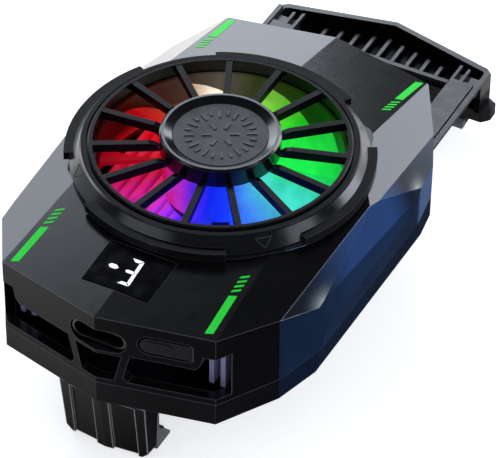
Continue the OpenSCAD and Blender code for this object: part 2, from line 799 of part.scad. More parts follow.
module charging_socket() {
    depth = 7.3;
    shell_w = 8.94;
    shell_h = 3.26;
    mouth_y = -front_reach + 1.3;
    color("#b9bcc2") {
        translate([0, mouth_y + depth, inlet_z]) rotate([90, 0, 0]) difference() {
            linear_extrude(depth) stadium(shell_w, shell_h);
            translate([0, 0, 1]) linear_extrude(depth) stadium(shell_w - 0.6, shell_h - 0.6);
        }
        translate([-socket_blade_w / 2, mouth_y + 1.2, inlet_z - socket_blade_t / 2])
            cube([socket_blade_w, depth - 1.7, socket_blade_t]);
    }
}

module tact_switch() {
    reach = tongue_t + tongue_l * sin(tongue_turn) + 0.2;
    place = tongue_root - tongue_l + 2.2;
    color("#c8c9cc") on_panel() {
        translate([place - 1.5, reach + 0.9, board_top_z]) cube([3, 2.6, tongue_z + 1.2 - board_top_z]);
        translate([place, reach + 1, tongue_z]) rotate([90, 0, 0]) cylinder(r = 0.7, h = 1);
    }
}

module display_module() {
    top = window_mid_z - wall - front_slope * window_y / 2 - 0.35;
    mid_y = window_mid_y;
    color("#d9d9d6") {
        translate([0, mid_y, 0]) block(window_x - 0.6, window_y - 0.7, top - display_t, top);
        for (s = [-1, 1], i = [-1.5:1:1.5]) translate([s * (window_x / 2 - 0.6), mid_y + i * 1.6, board_top_z])
            cylinder(r = 0.25, h = top - display_t / 2 - board_top_z);
    }
}

module display_window() {
    color("#0b0c0e") on_roof() translate([-window_x / 2, -window_y / 2, -window_t]) cube([window_x, window_y, window_t]);
}

module power_button() {
    pad_tip = tongue_root - tongue_l + 0.45;
    color("#26272b") on_panel() {
        translate([0, tongue_t, tongue_z]) rotate([90, 0, 0]) linear_extrude(tongue_t) tongue_shape(0);
        translate([pad_tip + 2.2, 0.1, tongue_z]) rotate([90, 0, 0]) linear_extrude(0.35) stadium(4.4, tongue_h - 0.9);
        translate([tongue_root, root_r, tongue_z - tongue_h / 2]) cylinder(r = root_r, h = tongue_h);
    }
}

// Plan of the clamp's outer wall: swept back from its middle, with chamfered ends
function wall_plan(t) = [[0, clamp_reach - t], [-wall_end_x + t * 0.4, wall_end_y - t], [-arm_x + t, wall_side_y - t * 0.4]];

module both_flat() {
    children();
    mirror([1, 0]) children();
}

module clamp_wall(low, high) {
    outer = wall_plan(0);
    inner = wall_plan(clamp_t);
    translate([0, 0, low]) linear_extrude(high - low) both_flat() polygon([outer[0], outer[1], outer[2],
        [outer[2].x, wall_root_y], [inner[2].x, wall_root_y], inner[2], inner[1], inner[0]]);
}

// Space inside the clamp's outer wall and behind a line, reaching into the wall by t
module clamp_inside(t, line_y) {
    inner = wall_plan(clamp_t - t);
    both_flat() polygon([[0.01, line_y], [0.01, inner[0].y], inner[0], inner[1], inner[2], [inner[2].x, line_y]]);
}

module clamp_arm() {
    keel_x = arm_inner + arm_step;
    keel_w = arm_w - 2 * arm_step;
    groove_x = arm_x - rail_w - groove_w;
    difference() {
        translate([arm_inner, arm_front_y, arm_z]) cube([arm_w, plate_end_y - arm_front_y, arm_t]);
        translate([groove_x, arm_front_y + 2, arm_top_z - groove_d]) cube([groove_w, far, far]);
    }
    translate([keel_x, arm_front_y, keel_low_z]) cube([keel_w, plate_end_y - arm_front_y - 0.2, arm_z + slip - keel_low_z]);
    translate([keel_x, plate_end_y - 1, slip]) cube([keel_w, tail_y - plate_end_y + 1, keel_low_z + 0.4 - slip]);
    translate([keel_x, rear_jaw_y, base_low_z]) cube([keel_w, tail_y - rear_jaw_y, keel_low_z + 0.3 - base_low_z]);
    translate([arm_x - rail_w, plate_end_y - 0.5, arm_z]) cube([rail_w, wall_side_y - plate_end_y, arm_t]);
    translate([arm_x - rail_w, wall_root_y, keel_low_z]) cube([rail_w, wall_side_y - wall_root_y - 0.5, arm_z + slip - keel_low_z]);
    translate([arm_x - 0.5, arm_front_y + 1, arm_z]) cube([spring_x - arm_x + 0.5 + anchor_w / 2, anchor_t, 2 * arm_t]);
    translate([spring_x - anchor_w / 2, spring_rear_y, arm_z]) cube([anchor_w, anchor_t, anchor_top_z - arm_z]);
}

module clamp_frame() {
    rib_span = (comb_ribs - 1) / 2;
    color("#2a2b2f") {
        both_sides() clamp_arm();
        clamp_wall(wall_low_z, wall_top_z);
        intersection() {
            clamp_wall(lip_top_z - lip_fall, wall_low_z + 1);
            block(2 * core_x, far, -far / 4, far / 4);
        }
        translate([0, 0, base_low_z]) linear_extrude(base_top_z - base_low_z) clamp_inside(clamp_t / 2, rear_jaw_y);
        translate([-bar_x, bar_y, base_low_z]) cube([2 * bar_x, bar_t, comb_top_z - base_low_z]);
        intersection() {
            for (i = [-rib_span:rib_span]) translate([i * comb_pitch - rib_t / 2, bar_y + bar_t / 2, base_top_z - slip])
                cube([rib_t, far / 4, comb_top_z - base_top_z + slip]);
            translate([0, 0, base_low_z]) linear_extrude(far / 8) clamp_inside(-comb_gap, rear_jaw_y);
        }
        both_sides() intersection() {
            for (x = side_rib_x) translate([x, plate_end_y - 0.4, arm_z]) cube([rib_t * 0.8, far / 4, arm_t]);
            translate([0, 0, base_low_z]) linear_extrude(far / 8) clamp_inside(-comb_gap, 0);
        }
    }
}

// Rubber jaw inside the wall, with end blocks that wrap under the wall's ends and a lip below the phone
module rear_jaw_pad() {
    low = -jaw_depth;
    color("#3c3d41") {
        translate([0, 0, low]) linear_extrude(base_low_z - low) intersection() {
            clamp_inside(0, rear_jaw_y);
            square([2 * core_x, far], center = true);
        }
        difference() {
            translate([0, 0, low]) linear_extrude(wall_low_z - fit_gap - low) both_flat() polygon([[core_x - 0.6, rear_jaw_y],
                [arm_x + 0.1, rear_jaw_y], [jaw_end_x, rear_jaw_y + 1.4], [jaw_end_x, wall_side_y],
                [wall_end_x + 0.6, wall_end_y], [core_x - 0.6, wall_end_y]]);
            intersection() {
                clamp_wall(low - 1, wall_low_z + 1);
                block(2 * (core_x + fit_gap), far, -far / 4, far / 4);
            }
            translate([0, 0, low - 1]) linear_extrude(far / 8) both_flat() polygon([[0, wall_end_y - clamp_t / 2],
                [core_x + fit_gap, wall_end_y - clamp_t / 2], [core_x + fit_gap, far], [0, far]]);
        }
        translate([-lip_x, 0, 0]) rotate([90, 0, 90]) linear_extrude(2 * lip_x) polygon([[rear_jaw_y + 0.5, lip_top_z],
            [rear_jaw_y, lip_top_z], [rear_jaw_y - lip_reach, lip_top_z - lip_fall], [rear_jaw_y - lip_reach, low],
            [rear_jaw_y + 0.5, low]]);
    }
}

module leg_profile() {
    back_y = -front_jaw_y - jaw_pad_t;
    polygon([[-leg_x - leg_flare, back_y], [-leg_x, -leg_edge_y], [0, -leg_top_y], [leg_x, -leg_edge_y],
        [leg_x + leg_flare, back_y]]);
}

module leg_toe(grow) {
    translate([-toe_x - grow, -front_jaw_y - jaw_pad_t - 0.5, leg_foot_z + 0.6 - grow])
        cube([2 * (toe_x + grow), jaw_pad_t + 0.5 + toe_reach + grow, 0.8 + 2 * grow]);
}

module front_leg() {
    front_top = [0, -leg_top_y, base_gap];
    front_side = [leg_x, -leg_edge_y, base_gap];
    front_foot = [0, -leg_top_y + leg_rake, leg_foot_z];
    flank_top = [leg_x, -leg_edge_y, base_gap];
    flank_back = [leg_x + leg_flare, -front_jaw_y - jaw_pad_t, base_gap];
    flank_foot = [leg_foot_x, -leg_edge_y, leg_foot_z];
    corner_top = [leg_foot_x, 0, leg_foot_z + leg_chamfer];
    corner_back = [leg_foot_x, 1, leg_foot_z + leg_chamfer];
    corner_foot = [leg_foot_x - leg_chamfer, 0, leg_foot_z];
    color("#26272b") difference() {
        union() {
            translate([0, 0, leg_foot_z]) linear_extrude(base_gap - leg_foot_z) leg_profile();
            leg_toe(0);
        }
        both_sides() {
            beyond([front_top, front_side, front_foot], 0);
            beyond([flank_top, flank_back, flank_foot], 0);
            beyond([corner_top, corner_back, corner_foot], 0);
            // Recessed flutes between the ridge and the edge ribs
            intersection() {
                translate([ridge_half_w, -front_reach - 1, leg_foot_z - 1])
                    cube([leg_foot_x - 2 * ridge_half_w, far / 8, base_gap - leg_foot_z + 0.5]);
                beyond([front_top, front_side, front_foot], flute_d);
            }
        }
        for (p = leg_screw_places) translate([p.x, p.y, base_gap - leg_screw_l]) cylinder(r = screw_r, h = far / 8);
    }
}

// Lining of the leg's rear face with a wedge below the phone
module front_jaw_pad() {
    face_y = -front_jaw_y;
    half = leg_foot_x + leg_flare;
    color("#6d6f74") difference() {
        translate([-half, 0, 0]) rotate([90, 0, 90]) linear_extrude(2 * half) polygon([[face_y - jaw_pad_t, jaw_pad_top_z],
            [face_y - jaw_pad_t, leg_foot_z], [face_y + wedge_reach, leg_foot_z],
            [face_y + wedge_reach, leg_foot_z + 0.5], [face_y, lip_top_z], [face_y, jaw_pad_top_z]]);
        leg_toe(fit_gap);
    }
}

// A tension spring as one wire: a straight lead, the turns, and a straight lead
rings_per_turn = 8;
wire_sides = 6;
spring_lead = 0.6;
coil_length = spring_rear_y - spring_front_y - 2 * spring_lead;
wire_path = [for (k = [-1:turns * rings_per_turn + 1]) let (
    s = min(max(k, 0), turns * rings_per_turn) / rings_per_turn,
    lead = k < 0 ? -spring_lead : k > turns * rings_per_turn ? spring_lead : 0)
    [spring_r * cos(360 * s), spring_front_y + spring_lead + coil_length * s / turns + lead, spring_r * sin(360 * s)]];
least_gap = min([for (i = [0:len(wire_path) - 1], j = [i + 5:1:min(i + 12, len(wire_path) - 1)])
    norm(wire_path[i] - wire_path[j])]) - wire_d;
echo(least_gap_between_turns = least_gap);

module spring_wire() {
    n = len(wire_path);
    points = [for (i = [0:n - 1]) let (
        c = wire_path[i],
        straight = i < 2 || i > n - 3,
        t = straight ? [0, 1, 0] : unit(wire_path[i + 1] - wire_path[i - 1]),
        out = unit([c.x, 0, c.z]),
        side = cross(t, out))
        for (k = [0:wire_sides - 1]) c + wire_d / 2 * (cos(360 * k / wire_sides) * out + sin(360 * k / wire_sides) * side)];
    sides = [for (i = [0:n - 2], k = [0:wire_sides - 1]) let (
        a = i * wire_sides + k,
        b = i * wire_sides + (k + 1) % wire_sides)
        each [[a, b, a + wire_sides], [b, b + wire_sides, a + wire_sides]]];
    ends = [for (k = [1:wire_sides - 2]) each [[0, k + 1, k],
        [(n - 1) * wire_sides, (n - 1) * wire_sides + k, (n - 1) * wire_sides + k + 1]]];
    polyhedron(points = points, faces = concat(sides, ends));
}

module left_spring() {
    color("#c9ccd2") translate([-spring_x, 0, spring_z]) spring_wire();
}

module right_spring() {
    color("#c9ccd2") translate([spring_x, 0, spring_z]) spring_wire();
}

module screw(r, l, head, head_height) {
    difference() {
        cylinder(r = head, h = head_height);
        for (a = [0, 90]) rotate(a) cube([head * 1.2, head * 0.25, head_height], center = true);
    }
    translate([0, 0, head_height]) cylinder(r = r, h = l - head_height);
}

module cover_screws() {
    color("#55585e") for (p = cover_screw_places) translate([p.x, p.y, base_gap])
        screw(screw_r, cover_screw_l, head_r, head_h);
}

module frame_screws() {
    color("#55585e") for (a = frame_screw_angles) rotate(a) translate([frame_screw_ring, 0, frame_z])
        screw(frame_screw_r, frame_screw_l, frame_head_r, frame_head_h);
}

module leg_screws() {
    color("#55585e") for (p = leg_screw_places) translate([p.x, p.y, floor_z + head_h]) mirror([0, 0, 1])
        screw(screw_r, leg_screw_l, leg_head_r, head_h);
}

top_cover();
bottom_cover();
bezel_ring();
fan_grille();
hub_disc();
fan_impeller();
rotor_magnet();
rotor_shaft();
bearing_sleeve();
fan_frame();
stator_core();
stator_coils();
motor_board();
light_guide();
light_board();
light_diodes();
heat_sink();
hot_ceramic();
module_pellets();
cold_ceramic();
foam_seal();
cold_plate();
cold_pad();
control_board();
charging_socket();
tact_switch();
display_module();
display_window();
power_button();
clamp_frame();
rear_jaw_pad();
front_leg();
front_jaw_pad();
left_spring();
right_spring();
cover_screws();
frame_screws();
leg_screws();
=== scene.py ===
# %% [markdown]
# # A clip-on phone cooler
# The object is a small cooler that clamps on the back of a phone. A fan under a spoked grille pulls air
# through a finned heat sink, coloured lamps light the fan well, and a frame at the back slides out to hold
# the phone. The solids come from the packed CAD model, so this lesson adds finishes, printed marks, soft
# pads, coil springs and the studio. Lengths on the object are written in millimetres and multiplied by MM.
# The floor and the lamps are in metres.

# %% Load the frame
import math

import bmesh
import bpy
from mathutils import Matrix, Vector
from mathutils.bvhtree import BVHTree


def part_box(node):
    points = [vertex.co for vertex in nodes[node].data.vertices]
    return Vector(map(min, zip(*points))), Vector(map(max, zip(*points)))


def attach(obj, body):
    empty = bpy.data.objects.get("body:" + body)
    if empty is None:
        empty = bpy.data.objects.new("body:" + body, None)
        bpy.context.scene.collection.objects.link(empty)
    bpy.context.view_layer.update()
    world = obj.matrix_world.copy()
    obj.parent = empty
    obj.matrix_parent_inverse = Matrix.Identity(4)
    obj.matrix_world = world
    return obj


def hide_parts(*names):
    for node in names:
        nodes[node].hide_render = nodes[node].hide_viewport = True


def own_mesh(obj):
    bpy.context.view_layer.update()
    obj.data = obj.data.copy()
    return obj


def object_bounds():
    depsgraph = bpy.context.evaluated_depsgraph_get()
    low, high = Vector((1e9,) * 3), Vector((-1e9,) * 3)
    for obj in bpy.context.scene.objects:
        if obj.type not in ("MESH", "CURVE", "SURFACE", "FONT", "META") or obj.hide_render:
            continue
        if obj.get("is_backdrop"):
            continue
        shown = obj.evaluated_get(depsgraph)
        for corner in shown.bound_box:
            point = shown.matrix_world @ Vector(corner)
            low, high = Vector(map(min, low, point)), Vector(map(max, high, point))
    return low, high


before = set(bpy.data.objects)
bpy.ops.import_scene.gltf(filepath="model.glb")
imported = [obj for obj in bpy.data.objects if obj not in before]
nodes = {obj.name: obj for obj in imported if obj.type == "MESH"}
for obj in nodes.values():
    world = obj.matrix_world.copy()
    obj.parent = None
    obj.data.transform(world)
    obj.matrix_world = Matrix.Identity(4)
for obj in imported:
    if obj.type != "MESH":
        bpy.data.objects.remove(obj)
cad_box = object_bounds()
MM = 0.001

# %% [markdown]
# ## Camera
# The camera stands in front and to the right, looking down. It could be aimed with a constraint, but a
# matrix from three named directions is easier to read and never drifts. The picture's middle isn't the
# object's middle, so a small shift moves the view.

# %% Camera
VIEW_AZIMUTH = math.radians(28.0)
VIEW_ELEVATION = math.radians(41.9)
VIEW_ROLL = math.radians(0.3)
VIEW_DISTANCE = 500 * MM
FOCAL_PIXELS = 3200
PICTURE_WIDTH = 500
PICTURE_HEIGHT = 458
AIM_PIXEL = (220, 247)
AIM = Vector((0, 0, 0.5)) * MM
SENSOR_WIDTH = 36

backward = Vector((math.sin(VIEW_AZIMUTH) * math.cos(VIEW_ELEVATION),
                   -math.cos(VIEW_AZIMUTH) * math.cos(VIEW_ELEVATION),
                   math.sin(VIEW_ELEVATION)))
rightward = Vector((math.cos(VIEW_AZIMUTH), math.sin(VIEW_AZIMUTH), 0))
upward = backward.cross(rightward)
rolled_right = math.cos(VIEW_ROLL) * rightward + math.sin(VIEW_ROLL) * upward
rolled_up = -math.sin(VIEW_ROLL) * rightward + math.cos(VIEW_ROLL) * upward

lens = bpy.data.cameras.new("camera")
lens.sensor_width = SENSOR_WIDTH
lens.sensor_fit = "HORIZONTAL"
lens.lens = FOCAL_PIXELS / PICTURE_WIDTH * SENSOR_WIDTH
lens.shift_x = (PICTURE_WIDTH / 2 - AIM_PIXEL[0]) / PICTURE_WIDTH
lens.shift_y = (AIM_PIXEL[1] - PICTURE_HEIGHT / 2) / PICTURE_WIDTH
camera = bpy.data.objects.new("camera", lens)
bpy.context.collection.objects.link(camera)
facing = Matrix((rolled_right, rolled_up, backward)).transposed().to_4x4()
camera.matrix_world = Matrix.Translation(AIM + backward * VIEW_DISTANCE) @ facing
bpy.context.scene.camera = camera
bpy.context.scene.view_settings.view_transform = "Standard"
print("camera at", [round(v, 3) for v in camera.location])

# %% [markdown]
# ## Node helpers
# Every finish below is a small graph of shader nodes. They could be added and joined one by one, but that
# takes several lines for each node and hides the idea of the finish. These helpers add a node with its
# settings and joins in one call and give back its output, so that a finish reads like a sum.

# %% Node helpers
class Graph:
    """A node tree, with short calls that add one node and return its output socket."""

    def __init__(self, tree):
        self.tree = tree

    def new(self, kind):
        return self.tree.nodes.new("ShaderNode" + kind)

    def feed(self, socket, value):
        """Join a socket to another one, or set its value. Three numbers make an opaque colour."""
        if isinstance(value, bpy.types.NodeSocket):
            self.tree.links.new(value, socket)
        elif socket.type == "RGBA":
            socket.default_value = (*value, 1)
        else:
            socket.default_value = value

    def math(self, operation, *values):
        node = self.new("Math")
        node.operation = operation
        for socket, value in zip(node.inputs, values):
            self.feed(socket, value)
        return node.outputs[0]

    def vector_math(self, operation, first, second):
        """A sum on two vectors that gives one number."""
        node = self.new("VectorMath")
        node.operation = operation
        self.feed(node.inputs[0], first)
        self.feed(node.inputs[1], second)
        return node.outputs["Value"]

    def spread(self, value, low, high, to_low=0.0, to_high=1.0):
        """Carry a value from one range to another, held at both ends."""
        node = self.new("MapRange")
        limits = {"From Min": low, "From Max": high, "To Min": to_low, "To Max": to_high}
        for name, number in limits.items():
            node.inputs[name].default_value = number
        self.feed(node.inputs["Value"], value)
        return node.outputs[0]

    def blend(self, share, first, second):
        """A number between two, for a share from 0 to 1."""
        return self.spread(share, 0.0, 1.0, first, second)

    def ramp(self, value, stops):
        node = self.new("ValToRGB")
        marks = node.color_ramp.elements
        while len(marks) < len(stops):
            marks.new(0.5)
        for mark, (place, colour) in zip(marks, stops):
            mark.position = place
            mark.color = (*colour, 1)
        self.feed(node.inputs[0], value)
        return node.outputs[0]

    def mix(self, share, first, second):
        node = self.new("Mix")
        node.data_type = "RGBA"
        self.feed(node.inputs[0], share)
        colours = [s for s in node.inputs if s.type == "RGBA"]
        for socket, value in zip(colours, (first, second)):
            self.feed(socket, value)
        return [s for s in node.outputs if s.type == "RGBA"][0]

    def split(self, vector):
        node = self.new("SeparateXYZ")
        self.feed(node.inputs[0], vector)
        return list(node.outputs)

    def join(self, *parts):
        node = self.new("CombineXYZ")
        for socket, value in zip(node.inputs, parts):
            self.feed(socket, value)
        return node.outputs[0]


print("graph helpers:", [name for name in vars(Graph) if not name.startswith("_")])

# %% [markdown]
# ## Surface helpers
# Real mouldings are never one even colour: the tone is a little cloudy, the gloss wanders and the tool leaves a
# fine grain. Painted textures could hold all that, but noise in the shader needs no files and no unwrapping.
# Rounded edges catch thin lines of light, which are painted here as highlights on an edge mask. The mask
# compares the true normal with one that the Bevel node rounds off.

# %% Surface helpers
class Finish(Graph):
    """One material on the Principled shader. Its helpers take millimetres."""

    NOISE_LOW = 0.3
    NOISE_HIGH = 0.7
    CLOUDS = {"per_mm": 0.12, "detail": 4}
    GLOSS = {"per_mm": 0.5, "detail": 5}
    GRAIN = {"per_mm": 9.0, "detail": 2}
    WEAR_SAMPLES = 6
    FLAT_FACE = 0.995
    ROUND_EDGE = 0.93

    def __init__(self, name):
        self.material = bpy.data.materials.new(name)
        self.material.use_nodes = True
        super().__init__(self.material.node_tree)
        self.shader = self.tree.nodes["Principled BSDF"]
        geometry = self.new("NewGeometry")
        self.position = geometry.outputs["Position"]
        self.normal = geometry.outputs["True Normal"]

    def spread_mm(self, value, low_mm, high_mm, *to):
        return self.spread(value, low_mm * MM, high_mm * MM, *to)

    def from_axis(self):
        """The distance from the fan's axis, which is the Z axis."""
        x, y = self.split(self.position)[:2]
        squares = self.math("ADD", self.math("MULTIPLY", x, x), self.math("MULTIPLY", y, y))
        return self.math("SQRT", squares)

    def noise(self, per_mm, detail, stretch=(1, 1, 1)):
        place = self.new("Mapping")
        place.inputs["Scale"].default_value = stretch
        self.feed(place.inputs["Vector"], self.position)
        node = self.new("TexNoise")
        node.inputs["Scale"].default_value = per_mm / MM
        node.inputs["Detail"].default_value = detail
        self.feed(node.inputs["Vector"], place.outputs[0])
        return node.outputs[0]

    def tint(self, pattern, dark, light):
        """Two close colours in the clouds or lines of a noise."""
        return self.ramp(pattern, [(self.NOISE_LOW, dark), (self.NOISE_HIGH, light)])

    def vary(self, pattern, least, most):
        """A number that follows a noise."""
        return self.spread(pattern, self.NOISE_LOW, self.NOISE_HIGH, least, most)

    def clouds(self, dark, light):
        return self.tint(self.noise(**self.CLOUDS), dark, light)

    def gloss(self, least, most):
        return self.vary(self.noise(**self.GLOSS), least, most)

    def bump(self, height, depth_mm, strength=1.0):
        node = self.new("Bump")
        node.inputs["Distance"].default_value = depth_mm * MM
        node.inputs["Strength"].default_value = strength
        self.feed(node.inputs["Height"], height)
        self.feed(self.shader.inputs["Normal"], node.outputs[0])

    def grain(self, depth_mm):
        self.bump(self.noise(**self.GRAIN), depth_mm)

    def worn(self, colour, edge, radius_mm):
        """A colour that gives way to another on rounded edges, as a painted highlight."""
        soft = self.new("Bevel")
        soft.samples = self.WEAR_SAMPLES
        soft.inputs["Radius"].default_value = radius_mm * MM
        alike = self.vector_math("DOT_PRODUCT", soft.outputs[0], self.normal)
        return self.mix(self.spread(alike, self.FLAT_FACE, self.ROUND_EDGE), colour, edge)

    def set(self, **values):
        for name, value in values.items():
            self.feed(self.shader.inputs[name.replace("_", " ")], value)


def paint(material, *names):
    for name in names:
        slots = nodes[name].data.materials
        slots.clear()
        slots.append(material)


print("surface helpers:", [name for name in vars(Finish) if name.islower() and not name.startswith("_")])

# %% [markdown]
# ## Floor
# The object lies on a white sheet that keeps its soft shadow. Plain white paper would light every facet from
# below, so the sheet looks white to the camera, dark to most reflections, and bright to those that fall to
# the rear left or the front left. The Light Path node tells these rays apart.

# %% Floor
FLOOR_REACH = 4.0
FLOOR_GAP = 0.02 * MM
SHEET_WHITE = (0.92, 0.92, 0.92)
SHEET_IN_MIRROR = (0.03, 0.03, 0.035)
CAMERA_GLOW = 0.62
REAR_LEFT_GLOW = {"low": 0.02, "high": 0.16, "to_low": 0.03, "to_high": 2.4}
FRONT_EDGE = {"low": -0.03, "high": -0.05}
FRONT_LEFT_GLOW = {"low": 0.005, "high": -0.045, "to_low": 0.12, "to_high": 1.1}

floor_z = cad_box[0][2] - FLOOR_GAP
corners = [(-1, -1), (1, -1), (1, 1), (-1, 1)]
floor_mesh = bpy.data.meshes.new("floor")
floor_mesh.from_pydata([(x * FLOOR_REACH, y * FLOOR_REACH, floor_z) for x, y in corners], [], [(0, 1, 2, 3)])
floor = bpy.data.objects.new("floor", floor_mesh)
bpy.context.collection.objects.link(floor)
floor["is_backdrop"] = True

sheet = Finish("white_floor")
ray = sheet.new("LightPath").outputs
floor_x, floor_y = sheet.split(sheet.position)[:2]
rear_left = sheet.spread(sheet.math("SUBTRACT", floor_y, floor_x), **REAR_LEFT_GLOW)
in_front = sheet.spread(floor_y, **FRONT_EDGE)
front_left = sheet.math("MULTIPLY", in_front, sheet.spread(floor_x, **FRONT_LEFT_GLOW))
mirror_glow = sheet.math("MULTIPLY", ray["Is Glossy Ray"], sheet.math("ADD", rear_left, front_left))
camera_glow = sheet.math("MULTIPLY", ray["Is Camera Ray"], CAMERA_GLOW)
sheet.set(Base_Color=sheet.mix(ray["Is Glossy Ray"], SHEET_WHITE, SHEET_IN_MIRROR),
          Roughness=0.8, Specular_IOR_Level=0.0, Emission_Color=(1, 1, 1),
          Emission_Strength=sheet.math("ADD", camera_glow, mirror_glow))
floor_mesh.materials.append(sheet.material)
print("floor at", round(floor_z / MM, 2), "mm")

# %% [markdown]
# ## Room
# The background is white, and the room that the facets mirror is dim. One grey world would do for light, but
# it would wash out the dark facets, so the world also shows one colour to the camera, one to reflections and
# one to everything else.

# %% Room
ROOM_LIGHT = (0.32, 0.33, 0.35)
ROOM_IN_MIRROR = (0.05, 0.055, 0.065)
ROOM_SEEN = (1, 1, 1)

world = bpy.data.worlds.new("studio")
bpy.context.scene.world = world
world.use_nodes = True
room = Graph(world.node_tree)
ray = room.new("LightPath").outputs
unseen = room.mix(ray["Is Glossy Ray"], ROOM_LIGHT, ROOM_IN_MIRROR)
room.feed(room.tree.nodes["Background"].inputs["Color"], room.mix(ray["Is Camera Ray"], unseen, ROOM_SEEN))
print("world:", world.name)

# %% [markdown]
# ## Lamps
# Facets turn pale or nearly black with what they mirror. Six soft boxes stand where the camera's rays land
# after they bounce off the facets: large ones at the rear for the roof, small ones for the bezel, the front
# and the sides. They could be placed by eye, but directions in degrees are easier to move one at a time.

# %% Lamps
LAMP_DISTANCE = 0.9
LAMP_COLOUR = (0.84, 0.90, 1.0)


def soft_box(name, azimuth, elevation, width, height, radiance):
    """An area lamp aimed at the object. Azimuth is from +Y towards -X."""
    lamp = bpy.data.lights.new(name, "AREA")
    lamp.shape = "RECTANGLE"
    lamp.size = width
    lamp.size_y = height
    lamp.energy = radiance * math.pi * width * height
    lamp.color = LAMP_COLOUR
    spot = bpy.data.objects.new(name, lamp)
    bpy.context.collection.objects.link(spot)
    around, up = math.radians(azimuth), math.radians(elevation)
    away = Vector((-math.sin(around) * math.cos(up), math.cos(around) * math.cos(up), math.sin(up)))
    spot.location = away * LAMP_DISTANCE
    spot.rotation_euler = away.to_track_quat("Z", "Y").to_euler()


soft_box("left_box", azimuth=46, elevation=23.8, width=0.88, height=0.71, radiance=4.1)
soft_box("rear_box", azimuth=-29, elevation=14, width=0.84, height=0.30, radiance=5.8)
soft_box("right_box", azimuth=-90, elevation=27, width=0.30, height=0.40, radiance=2.4)
soft_box("front_box", azimuth=150, elevation=28, width=0.5, height=0.4, radiance=1.2)
soft_box("side_box", azimuth=98, elevation=10, width=0.4, height=0.3, radiance=0.7)
soft_box("roof_box", azimuth=46, elevation=45.5, width=0.26, height=0.12, radiance=1.5)

# %% [markdown]
# ## Moulded plastic
# The leg, the hub disc, the tongue, the fan's frame and the window are black plastic of different gloss, and
# the boards and ceramics are white or green. A single black would be quick, but the pieces would look like
# one lump. One function makes them all: cloudy colour, uneven gloss, grain and, if asked, a painted highlight
# on the edges.

# %% Moulded plastic
GLOSS_SWING = 0.05
MATT_BLACK = {"dark": (0.008, 0.008, 0.01), "light": (0.013, 0.013, 0.015)}


def moulded(name, dark, light, rough, grain_mm=0.02, edge=None, edge_mm=0.14, **more):
    """A moulding or a coat, with a painted highlight on its edges if a colour is given for it."""
    finish = Finish(name)
    colour = finish.clouds(dark, light)
    if edge:
        colour = finish.worn(colour, edge, edge_mm)
    finish.set(Base_Color=colour, Roughness=finish.gloss(rough - GLOSS_SWING, rough + GLOSS_SWING), **more)
    finish.grain(grain_mm)
    return finish.material


paint(moulded("disc_matte", dark=(0.012, 0.012, 0.014), light=(0.02, 0.02, 0.023), rough=0.5), "hub_disc")
paint(moulded("frame_black", **MATT_BLACK, rough=0.4), "fan_frame")
# The leg's broad pale edge lines are painted highlights on its ribs.
paint(moulded("leg_gloss", dark=(0.003, 0.003, 0.004), light=(0.006, 0.006, 0.007), rough=0.2, grain_mm=0.006,
              edge=(0.45, 0.455, 0.46), edge_mm=0.34, Specular_IOR_Level=0.42), "front_leg")
paint(moulded("button_black", **MATT_BLACK, rough=0.34, grain_mm=0.01, edge=(0.06, 0.062, 0.068)),
      "power_button")
paint(moulded("smoked_window", dark=(0.002, 0.002, 0.003), light=(0.003, 0.003, 0.004), rough=0.1,
              grain_mm=0.001, Specular_IOR_Level=0.3), "display_window")
paint(moulded("white_resist", dark=(0.7, 0.7, 0.68), light=(0.8, 0.8, 0.78), rough=0.4),
      "light_board", "display_module", "hot_ceramic", "cold_ceramic")
paint(moulded("green_resist", dark=(0.012, 0.07, 0.03), light=(0.02, 0.1, 0.045), rough=0.35),
      "motor_board", "control_board")
print("materials so far:", len(bpy.data.materials))

# %% [markdown]
# ## Bare metal
# Screws, shaft, springs, plate and coils are metal that was drawn, milled or wound, which leaves fine lines.
# An anisotropic shader would bend the highlights alone. One noise does more: it drives colour, gloss and
# height together, and it can be stretched along the lines.

# %% Bare metal
LINES = {"per_mm": 1.5, "detail": 5}
LINE_DEPTH = 0.01
LINE_STRENGTH = 0.6
LINE_SWING = 0.06


def brushed(name, dark, light, rough, stretch=(1, 1, 1)):
    """Metal with fine lines across its colour, gloss and surface."""
    finish = Finish(name)
    lines = finish.noise(**LINES, stretch=stretch)
    finish.set(Base_Color=finish.tint(lines, dark, light), Metallic=1.0,
               Roughness=finish.vary(lines, rough - LINE_SWING, rough + LINE_SWING))
    finish.bump(lines, LINE_DEPTH, LINE_STRENGTH)
    return finish.material


bright_steel = brushed("bright_steel", dark=(0.5, 0.51, 0.53), light=(0.66, 0.67, 0.69), rough=0.28)
paint(bright_steel, "tact_switch", "rotor_shaft", "stator_core")
paint(brushed("dark_steel", dark=(0.10, 0.10, 0.11), light=(0.16, 0.16, 0.17), rough=0.3), "charging_socket")
paint(brushed("black_steel", dark=(0.06, 0.06, 0.065), light=(0.1, 0.1, 0.11), rough=0.35),
      "cover_screws", "frame_screws", "leg_screws")
paint(brushed("milled_plate", dark=(0.55, 0.56, 0.58), light=(0.72, 0.73, 0.75), rough=0.3,
              stretch=(0.2, 4, 1)), "cold_plate")
paint(brushed("copper", dark=(0.5, 0.2, 0.08), light=(0.68, 0.3, 0.13), rough=0.35, stretch=(1, 1, 8)),
      "stator_coils")
paint(brushed("bronze", dark=(0.5, 0.32, 0.14), light=(0.62, 0.42, 0.2), rough=0.4), "bearing_sleeve")
paint(brushed("magnet", dark=(0.12, 0.12, 0.13), light=(0.18, 0.18, 0.2), rough=0.5), "rotor_magnet")
paint(brushed("pellets", dark=(0.3, 0.3, 0.32), light=(0.4, 0.4, 0.42), rough=0.45), "module_pellets")
print("materials so far:", len(bpy.data.materials))

# %% [markdown]
# ## Grille
# The hub's rim is polished and the spokes are satin, although both are one moulding. The solid could be cut
# in two to take two materials. It is simpler to let the distance from the fan's axis choose the gloss.

# %% Grille
HUB_RADIUS = (9.4, 9.8)
SPOKE_SHINE = 0.07
HUB_SHINE = 0.62
SPOKE_ROUGH = 0.26
HUB_ROUGH = 0.17

